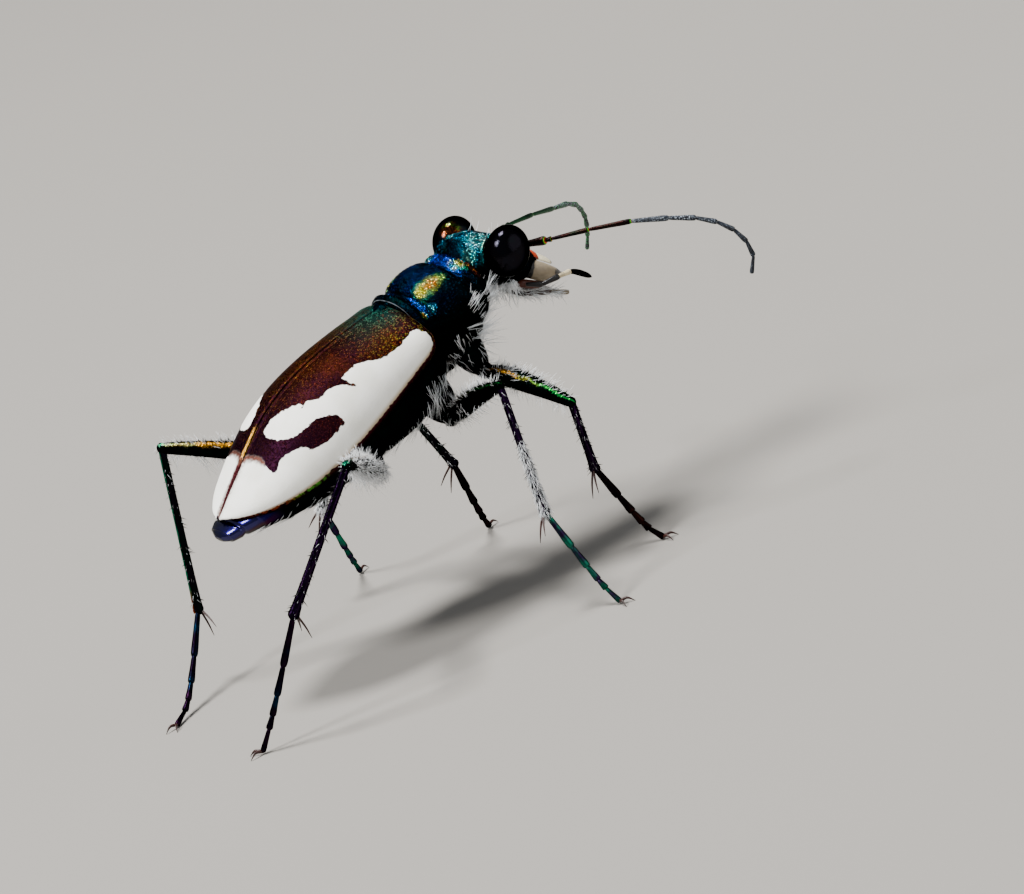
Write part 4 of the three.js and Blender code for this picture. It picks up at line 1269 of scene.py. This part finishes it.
def makeLeg(name, kneeSpot, ankleSpot, toeSpot, sag):
    pair, sideName = name.split("_")
    way = bothSides[sideName]
    hx, hy, hz = legs["hips"][pair]
    root, hip = moved([(hx + 0.1, way * hy * 0.8, hz + legs["coxaRise"][pair]), (hx, way * hy, hz)], body)
    knee, ankle = np.add(kneeSpot, shift), np.add(ankleSpot, shift)
    toe = np.add((*toeSpot, legs["toeHeight"]), shift)
    thigh, shin, foot = unit(knee - hip), unit(ankle - knee), unit(toe - ankle)

    path = [root, root + (hip - root) * 0.4, root + (hip - root) * 0.8, hip]
    coxa = sweep(path, legs["coxaWide"][pair], 28, 24, up=(1, 0, 0))
    ball = sweep([hip + thigh * t for t in (-0.10, 0.12, 0.30)], legs["trochanter"], 20, 10)
    parts = [gridPart(coxa), gridPart(ball)]
    makePiece(f"coxaPart_{name}", parts, coxaMaterial, [f"coxa_{name}"])

    start = hip + thigh * 0.22
    path = [start + (knee - start) * t + (0, 0, rise) for t, rise in legs["femurBow"]]
    femur = sweep(path + [knee - thigh * 0.12, knee], legs["femurWide"], 28, 60, legs["femurHigh"])
    makePiece(f"femurPart_{name}", [gridPart(femur)], femurMaterials[pair], [f"femur_{name}"])

    path = [knee - shin * 0.02] + [knee + (ankle - knee) * t for t in (0.08, 0.35, 0.65, 0.92, 1)]
    tibia = sweep(path, legs["tibiaWide"], 24, 70, up=thigh - shin * thigh.dot(shin), ridges=0.07)
    finish = tibiaMaterials[sideName]
    makePiece(f"tibiaPart_{name}", [gridPart(tibia)], finish, [f"tibia_{name}"])

    aside = np.array([1.0 if pair == "hind" else -1.0, 0, 0])
    aside = unit(aside - foot * aside.dot(foot))
    spurs = []
    for lean in (-1, 1):
        out = unit(aside + np.cross(foot, aside) * 0.45 * lean)
        base, reach = ankle + out * 0.08, unit(foot * 0.72 + out * 0.7) * legs["spur"]
        thorn = sweep([base, base + reach * 0.5 + out * 0.03, base + reach], legs["spurWide"], 10, 12)
        spurs.append(gridPart(thorn, extra=rootToTip(thorn)))
    makePiece(f"spurs_{name}", spurs, spurMaterial, ())

    # the foot sags between the ankle and the toe, which stands on the floor
    begin = ankle + foot * 0.06
    drops = ((0, 0), (0.42, 1), (0.74, 1.15), (1, 0))
    line = [begin + (toe - begin) * t - (0, 0, sag * drop) for t, drop in drops]
    widths = np.array(legs["tarsusWide"]) * (legs["frontTarsusWider"] if pair == "front" else 1.0)
    links = linkRows(smoothRows(line, 60), legs["tarsusShares"], widths, 0.03)
    finish = tarsusMetals[pair]
    strew(f"tarsusLinks_{name}", links, linkShape, finish, 5, 0.0, [f"tarsus_{name}"])

    flat = unit([toe[0] - begin[0], toe[1] - begin[1], 0])
    turn = radians(legs["clawTurn"])
    claws = []
    for lean in (-1, 1):
        reach = unit(flat * cos(turn) + np.cross([0, 0, 1], flat) * sin(turn) * lean) * legs["claw"]
        (midX, midY, _), (tipX, tipY, _) = toe + reach * 0.5, toe + reach * 0.95
        path = [toe, (midX, midY, toe[2] + 0.06), (tipX, tipY, 0.012)]
        hook = sweep(path, legs["clawWide"], 10, 16, legs["clawHigh"])
        claws.append(gridPart(hook, extra=rootToTip(hook)))
    makePiece(f"claws_{name}", claws, spurMaterial, ())
    grids = {"coxa": coxa, "ball": ball, "femur": femur, "tibia": tibia}
    legSkins[name] = (grids, thigh, shin)


for name, joints in legs["joints"].items():
    makeLeg(name, *joints)
print("legs made")

# Feelers and palps
feelers = {
    "paths": {
        "right": [
            (4.26, -0.96, 8.93), (4.63, -1.58, 8.93), (5.63, -2.72, 8.91), (6.65, -3.52, 8.74),
            (8.09, -4.28, 8.18), (8.86, -4.69, 7.41), (9.03, -4.78, 6.58), (8.87, -4.62, 6.11),
        ],
        "left": [
            (4.25, 0.62, 8.90), (4.60, 0.86, 9.12), (5.50, 1.24, 9.04), (6.48, 1.70, 8.76),
            (8.00, 2.82, 8.26), (8.70, 3.72, 7.48), (8.88, 4.30, 6.78), (8.86, 4.64, 6.25),
        ],
    },
    "pile": {"right": "1c222c", "left": "245c30"},
    # colour of the painted highlights on the down
    "speck": "b8c4d0",
    "ring": ("3aa828", "d03c0c"),
    "inner": {"right": ("0a0508", "1c0806", "061008"), "left": ("0c3a1c", "144426", "062814")},
    "shares": [0.085, 0.025, 0.15, 0.16, 0.135, 0.10, 0.08, 0.07, 0.065, 0.06, 0.07],
    "widths": [0.27, 0.17, 0.155, 0.165, 0.18, 0.175, 0.165, 0.16, 0.155, 0.15, 0.13],
}


# Bare metallic links near the head, each with a bright ring at its end, and downy grey ones further out; the
# pale specks on the down are painted highlights
def feelerMaterial(name, pile, inner):
    material, tree = newMaterial(name, specular=0.25)
    spot, rank = worldSpot(tree), attribute(tree, "rank", "Fac")
    along = axesOf(attribute(tree, "shapeMap"))[1]
    outer = ranged(rank, 0.36, 0.38)
    ring = mixed(ranged(along, 0.86, 0.94), *feelers["ring"])
    ringed = product(ranged(along, 0.76, 0.86), 0.95)
    base = mixed(ringed, threeHues(spot, 1.5, *inner), ring)
    specks = noise(spot, 34.0, 2.0)
    # pale specks, strongest on the middle links: painted highlights on the down
    bright = product(ranged(specks, 0.55, 0.68), ranged(rank, 0.72, 0.5, 0.3, 1.0))
    down = mixed(drift(spot, 9.0, 0.4, 0.6), "0a0c12", pile)
    down = mixed(bright, down, feelers["speck"])
    down = mixed(ranged(along, 0.92, 1.0), down, "050508")
    color = mixed(outer, base, down)
    metallic = ranged(outer, 0, 1, 0.9, 0.0, "LINEAR")
    rough = ranged(outer, 0, 1, 0.26, 0.62, "LINEAR")
    return dressed(material, color, specks, reliefs["feeler"], metallic=metallic, roughness=rough)


for sideName, path in feelers["paths"].items():
    rows = linkRows(smoothRows(np.add(path, shift), 160), feelers["shares"], feelers["widths"], 0.02)
    finish = feelerMaterial(f"feeler {sideName}", feelers["pile"][sideName], feelers["inner"][sideName])
    strew(f"feelerLinks_{sideName}", rows, linkShape, finish, 5, 0.0, [f"antenna_{sideName}"])


# Each stage has the rank at which it begins and its colour
def palpMaterial(name, color, stages):
    material, tree = newMaterial(name, roughness=0.34, specular=0.35)
    spot, rank = worldSpot(tree), attribute(tree, "rank", "Fac")
    for start, code in stages:
        color = mixed(ranged(rank, start, start + 0.02), color, code)
    shade = ranged(noise(spot, 4.0), 0.35, 0.7, 0.0, 0.45)
    return dressed(material, mixed(shade, color, "0a0605"), noise(spot, 14.0), reliefs["palp"])


maxillaryFinish = palpMaterial("maxillary palp", "080505", [(0.45, "e0cfa8"), (0.7, "040406")])
labialFinish = palpMaterial("labial palp", "0a0605", [(0.3, "2c160c"), (0.7, "7a705e")])
tipMaterial = legMaterial("palp tip", "010102", "020204", "06060c", "0a0a12", 0.3)
palpSkins = []


def makePalps(c, sideName, way):
    line = smoothRows(moved(np.array(c["maxillary"]) * (1, way, 1), head), 60)
    rows = linkRows(line, c["maxillaryShares"], c["maxillaryWide"], 0.03)
    rows = {key: value[:3] for key, value in rows.items()}  # the tip is a piece of its own
    solids = [f"maxillary_palp_{sideName}"]
    strew(f"maxillaryLinks_{sideName}", rows, linkShape, maxillaryFinish, 5, 0.0, solids)
    tip = sweep(line[-26:][[0, 6, 13, 20, 25]], c["maxillaryTip"], 16, 20)
    makePiece(f"maxillaryTip_{sideName}", [gridPart(tip)], tipMaterial, ())
    path = moved(np.array(c["labial"]) * (1, way, 1), head)
    rows = linkRows(smoothRows(path, 60), c["labialShares"], c["labialWide"], 0.03)
    solids = [f"labial_palp_{sideName}"]
    strew(f"labialLinks_{sideName}", rows, linkShape, labialFinish, 5, 0.0, solids)
    palpSkins.append(sweep(path, [0.05] * 4, 12, 30))


for sideName, way in bothSides.items():
    makePalps(mouth, sideName, way)
print("feelers and palps made")

# White hairs and dark spines
hair = {
    "neckLevel": 7.8,
    "velvet": {"left": 0.36, "right": 0.72},
    "seed": 11,
    "white": "fbfdff",
    "shade": "dfe5e8",
    "scatter": 0.6,
    "scatterDepth": 0.0001,
}
chance = np.random.default_rng(hair["seed"])
bodyTurn, headTurn = body[:3, :3], head[:3, :3]


def corners(rows):
    after = np.roll(rows, -1, 1)
    return rows[:-1], after[:-1], after[1:], rows[1:]


# Picks roots over a skin's cells, by area and by weight(own-frame spots, normals). The map has 8 x 8 tiles.
def pickRoots(grid, count, weight, tile, matrix=None):
    put = grid if matrix is None else moved(grid.reshape(-1, 3), matrix).reshape(grid.shape)
    a, b, c, d = corners(put)
    normal = np.cross(c - a, d - b)
    area = np.linalg.norm(normal, axis=-1)
    normal /= np.maximum(area[..., None], 1e-12)
    if ((a - put.mean(1)[:-1][:, None]) * normal).sum() < 0:
        normal = -normal
    likely = (area * np.maximum(weight(sum(corners(grid)) / 4, normal), 0)).ravel()
    i, j = np.unravel_index(chance.choice(len(likely), count, p=likely / likely.sum()), area.shape)
    s, t = chance.random((count, 1)), chance.random((count, 1))
    roots = (a[i, j] * (1 - s) + b[i, j] * s) * (1 - t) + (d[i, j] * (1 - s) + c[i, j] * s) * t
    u = (tile[0] + 0.02 + 0.94 * (j + s[:, 0]) / area.shape[1]) / 8
    v = (tile[1] + 0.02 + 0.94 * (i + t[:, 0]) / area.shape[0]) / 8
    return roots, normal[i, j], np.stack([u, v, np.zeros(count)], 1)


# Hairs that lean from the surface towards flow; lift 1 stands straight out. Several can share a root as a
# fan, and tuft draws the tips of neighbours together.
def comb(picked, flow, lift, length, thick, spread=0.25, fan=1, tuft=0.0, swirl=0.0):
    roots, normals, spots = (np.repeat(rows, fan, 0) for rows in picked)
    count = len(roots)
    if fan > 1:
        stray = chance.normal(0, 0.035, (count, 3))
        roots = roots + stray - normals * (stray * normals).sum(1, keepdims=True)
    flow = flow(roots) if callable(flow) else np.broadcast_to(np.asarray(flow, float), normals.shape)
    along = flow - normals * (flow * normals).sum(1, keepdims=True)
    along /= np.maximum(np.linalg.norm(along, axis=1, keepdims=True), 1e-6)
    direction = normals * lift + along * (1 - lift) + chance.normal(0, spread, (count, 3)) * 0.6
    waves = np.array([[6.5, 2.7, 4.6], [-3.7, 5.9, 3.0], [2.1, -4.6, 6.9]])
    direction += swirl * np.sin(roots @ waves.T + (0.4, 2.1, 4.0))
    direction /= np.linalg.norm(direction, axis=1, keepdims=True)
    long = length * chance.uniform(0.6, 1.25, count)
    if tuft > 0:
        leaders = chance.choice(count, max(count // 9, 1), replace=False)
        nearest = np.linalg.norm(roots[:, None] - roots[leaders][None], axis=-1).argmin(1)
        goal = (roots + direction * length)[leaders][nearest]
        direction = direction * (1 - tuft) + (goal - roots) / length * tuft
        direction /= np.linalg.norm(direction, axis=1, keepdims=True)
    fat = thick * chance.uniform(0.8, 1.2, count)
    return {
        "roots": roots - normals * 0.02, "directions": direction,
        "bends": along - normals * 0.3, "sizes": np.stack([fat, fat, long], 1), "spots": spots,
    }


def gathered(sets):
    return {key: np.concatenate([rows[key] for rows in sets]) for key in sets[0]}


def hairMaterial(name, first, second, roughness, scatter=0.0):
    depths = {"scatter": scatter, "scatterDepth": hair["scatterDepth"], "scatterReach": (1, 1, 1)}
    material, tree = newMaterial(name, roughness=roughness, specular=0.5, **depths)
    spot = worldSpot(tree)
    tone = mixed(drift(spot, 3.0, 0.4, 0.65), first, second)
    return dressed(material, tone, noise(spot, 60.0), reliefs["hair"])


whiteHair = hairMaterial("white hair", hair["white"], hair["shade"], 0.42)
legHairFinish = hairMaterial("white leg hair", hair["white"], hair["shade"], 0.42, hair["scatter"])
darkSpine = hairMaterial("dark spine", "030204", "120806", 0.3)


# Where the body's hairs stand, as weights over own-frame spots
def throat(x, y, z):
    return step(z, -1.5, -2.1) * step(x, 0.7, 1.7)


def neck(x, y, z):
    return step(z, -0.8, -1.2) * step(x, 1.0, 1.7) * step(np.abs(y), 0.5, 0.9)


def proSide(x, y, z):
    return step(z, -1.25, -1.7) * step(np.abs(y), 0.9, 1.3)


def flank(x, y, z):
    side = step(z, -1.55, -1.95) * step(x, -3.3, -2.6) * step(x, 0.6, 0.2)
    return side * (0.4 + bump(x, -0.5, 0.45) + bump(x, -1.9, 0.35) + step(z, -2.2, -2.8))


def belly(x, y, z):
    rear = step(x, -7.2, -6.8) * step(x, -2.8, -3.2)
    return step(z + 0.05 * x, -1.35, -1.6) * rear * bump(np.abs(y), 1.2, 0.5)


def cheek(x, y, z):
    return step(z, -0.6, -0.85) * step(x, -0.9, -0.4) * step(x, 1.3, 0.9)


def crown(x, y, z):
    return step(z, 0.25, 0.4) * bump(np.abs(y), 0.6, 0.2) * step(x, -0.8, -0.3)


def palpShaft(x, y, z):
    along = (np.stack([x, y, z], -1) - head[:3, 3]) @ headTurn[:, 0]
    return step(along, 1.1, 1.5) * step(along, 2.7, 2.3)


# Forward under the neck, and upwards above it
def neckFlow(roots):
    rise = np.clip((roots[:, 2] - hair["neckLevel"]) / 0.6, -1, 1)
    return np.stack([np.ones(len(roots)), np.zeros(len(roots)), 0.1 + 0.5 * rise], 1)


def bodyHair():
    hairs, locks = [], []
    pro, rear, front = (proGrid, prothorax, (0, 0)), (trunkGrid, body, (1, 0)), (headGrid, head, (2, 0))

    def add(kind, place, count, weight, flow, lift, length, thick, **combing):
        grid, matrix, tile = place
        picked = pickRoots(grid, count, lambda p, normal: weight(*np.moveaxis(p, -1, 0)), tile, matrix)
        kind.append(comb(picked, flow, lift, length, thick, **combing))

    add(hairs, pro, 34, throat, bodyTurn @ (0.7, 0, -0.6), 0.3, 0.85, 0.015, spread=0.34, fan=10)
    add(hairs, pro, 58, neck, neckFlow, 0.14, 0.84, 0.013, spread=0.2, fan=7, swirl=0.16)
    add(locks, pro, 170, proSide, bodyTurn @ (-0.1, 0, -1.0), 0.06, 0.36, 0.012, spread=0.3, swirl=0.35)
    down = bodyTurn @ (-0.5, 0, -1.0)
    add(locks, rear, 1100, flank, down, 0.02, 0.80, 0.011, spread=0.12, tuft=0.3, swirl=0.22)
    add(hairs, rear, 420, belly, bodyTurn @ (-0.9, 0, -0.35), 0.05, 0.42, 0.012, spread=0.15, swirl=0.1)
    add(hairs, front, 34, cheek, headTurn @ (0.5, 0, -1.0), 0.4, 0.70, 0.016, spread=0.36, fan=11)
    add(locks, front, 70, cheek, headTurn @ (0.6, 0, -1.0), 0.5, 0.80, 0.024, spread=0.28, tuft=0.3)
    add(hairs, front, 12, crown, headTurn @ (0.2, 0, 0.9), 0.8, 0.36, 0.011)
    for order, grid in enumerate(palpSkins):
        place = (grid, None, (3 + order, 0))
        add(hairs, place, 190, palpShaft, headTurn @ (0.9, 0, -0.3), 0.35, 0.42, 0.018, spread=0.35)
    strew("hairBody", gathered(hairs), hairShape, whiteHair, 21, 0.15)
    strew("hairFlanks", gathered(locks), lockShape, whiteHair, 24, 0.15)


# Weight for a limb between two shares of its length; facing is 1 for its top, -1 for its underside
def limbWeight(grid, low, high, facing=0):
    t = np.linspace(0, 1, grid.shape[0] - 1)[:, None]

    def weight(p, normal):
        mask = step(normal[..., 2] * facing, 0.35, 0.8) if facing else np.ones(normal.shape[:2])
        return mask * step(t, low - 0.03, low + 0.03) * step(t, high + 0.03, high - 0.03)

    return weight


def legHair():
    spines, locks, hairs = [], [], {"left": [], "right": []}
    down = bodyTurn @ (-0.2, 0, -1.0)
    tileRows = {"coxa": 1, "ball": 2, "femur": 3, "tibia": 4}
    for order, (name, (grids, out, shin)) in enumerate(legSkins.items()):
        pair, sideName = name.split("_")

        def add(kind, part, count, span, flow, lift, length, thick, **combing):
            picked = pickRoots(grids[part], count, limbWeight(grids[part], *span), (order, tileRows[part]))
            kind.append(comb(picked, flow, lift, length, thick, **combing))

        white = hairs[sideName]
        add(locks, "coxa", 90, (0.1, 1.0), down, 0.05, 0.44, 0.011, spread=0.2, swirl=0.25)
        add(white, "ball", 60, (0.0, 1.0), out + down * 0.6, 0.35, 0.34, 0.016)
        add(white, "femur", 170, (0.08, 0.92, 1), out * 0.8 + (0, 0, 0.4), 0.62, 0.31, 0.014)
        add(white, "femur", 100, (0.05, 0.90, -1), out * 0.9, 0.7, 0.36, 0.013)
        add(white, "femur", 60, (0.0, 0.35), out * 0.9 + down * 0.7, 0.35, 0.44, 0.015, tuft=0.5)
        add(spines, "femur", 60, (0.08, 0.9, 1), out, 0.78, 0.14, 0.034, spread=0.1)
        if pair == "hind":
            reach = hair["velvet"][sideName]
            add(white, "femur", int(2500 * reach), (0.0, reach), out, 0.46, 0.17, 0.017, spread=0.3)
            add(white, "femur", 70, (0.35, 0.9, -1), down, 0.5, 0.62, 0.014, tuft=0.4)
            add(white, "ball", 200, (0.0, 1.0), down, 0.45, 0.18, 0.020, spread=0.3)
            add(white, "coxa", 260, (0.68, 1.0), down, 0.25, 0.20, 0.020, spread=0.3)
        if pair == "front":
            add(locks, "coxa", 130, (0.05, 0.9), down, 0.2, 0.30, 0.012, spread=0.5, swirl=0.4)
        if pair == "middle":
            add(white, "tibia", 1300, (0.46, 0.99), shin, 0.2, 0.22, 0.017)
            add(white, "tibia", 24, (0.1, 0.45), shin, 0.42, 0.2, 0.012)
        else:
            add(white, "tibia", 44, (0.1, 0.98), shin, 0.5, 0.17, 0.011)
        add(spines, "tibia", 70, (0.06, 0.96), shin, 0.6, 0.16, 0.026, spread=0.1)
    for sideName, sets in hairs.items():
        strew(f"hairLegs_{sideName}", gathered(sets), hairShape, legHairFinish, 22, 0.15)
    strew("hairHips", gathered(locks), lockShape, whiteHair, 25, 0.15)
    strew("spinesLegs", gathered(spines), spineShape, darkSpine, 23, 0.2)


bodyHair()
legHair()
print("hairs made")

# Floor and light
studio = {
    "floor": "87837d",
    "floorReach": 1.6,
    "floorPoints": 24,
    "floorRoughness": 0.7,
    "world": (0.84, 0.89, 0.96),
    "worldStrength": 0.32,
    "lampDistance": 0.35,
    "lampAim": (0, 0, 0.007),
    # for each lamp: where it stands as seen from the camera (right, up, towards it), its width and its power
    "lamps": {
        "top": ((-0.45, 0.86, 0.10), 0.085, 2.55),
        "side": ((-0.81, 0.42, 0.41), 0.09, 1.9),
        "fill": ((0.6, 0.45, 0.65), 0.45, 0.60),
    },
}


def makeFloor(s):
    count = s["floorPoints"]
    line = np.linspace(-s["floorReach"], s["floorReach"], count)
    cells = [i * count + j for i in range(count - 1) for j in range(count - 1)]
    mesh = bpy.data.meshes.new("floor")
    faces = [(k, k + count, k + count + 1, k + 1) for k in cells]
    mesh.from_pydata([(x, y, 0) for x in line for y in line], [], faces)
    floor = bpy.data.objects.new("floor", mesh)
    bpy.context.scene.collection.objects.link(floor)
    material, tree = newMaterial("floor paint", roughness=s["floorRoughness"], specular=0.2)
    at = addNode("ShaderNodeTexCoord", {}, tree).outputs["Object"]
    tone = mixed(noise(at, 60.0), s["floor"], shaded(s["floor"], 0.97))
    feed(tree.nodes["Principled BSDF"].inputs["Base Color"], tone)
    mesh.materials.append(material)


def makeLight(s):
    world = bpy.data.worlds.new("studio")
    world.use_nodes = True
    color, strength = world.node_tree.nodes["Background"].inputs[:2]
    color.default_value = (*s["world"], 1)
    strength.default_value = s["worldStrength"]
    bpy.context.scene.world = world
    for label, ((x, y, z), width, power) in s["lamps"].items():
        direction = (viewRight * x + viewTop * y + viewBack * z).normalized()
        data = bpy.data.lights.new(label, "AREA")
        data.shape, data.size, data.energy = "DISK", width, power
        lamp = bpy.data.objects.new(label, data)
        lamp.location = Vector(s["lampAim"]) + direction * s["lampDistance"]
        lamp.rotation_mode = "QUATERNION"
        lamp.rotation_quaternion = direction.to_track_quat("Z", "Y")
        bpy.context.scene.collection.objects.link(lamp)


makeFloor(studio)
makeLight(studio)
print("studio made")
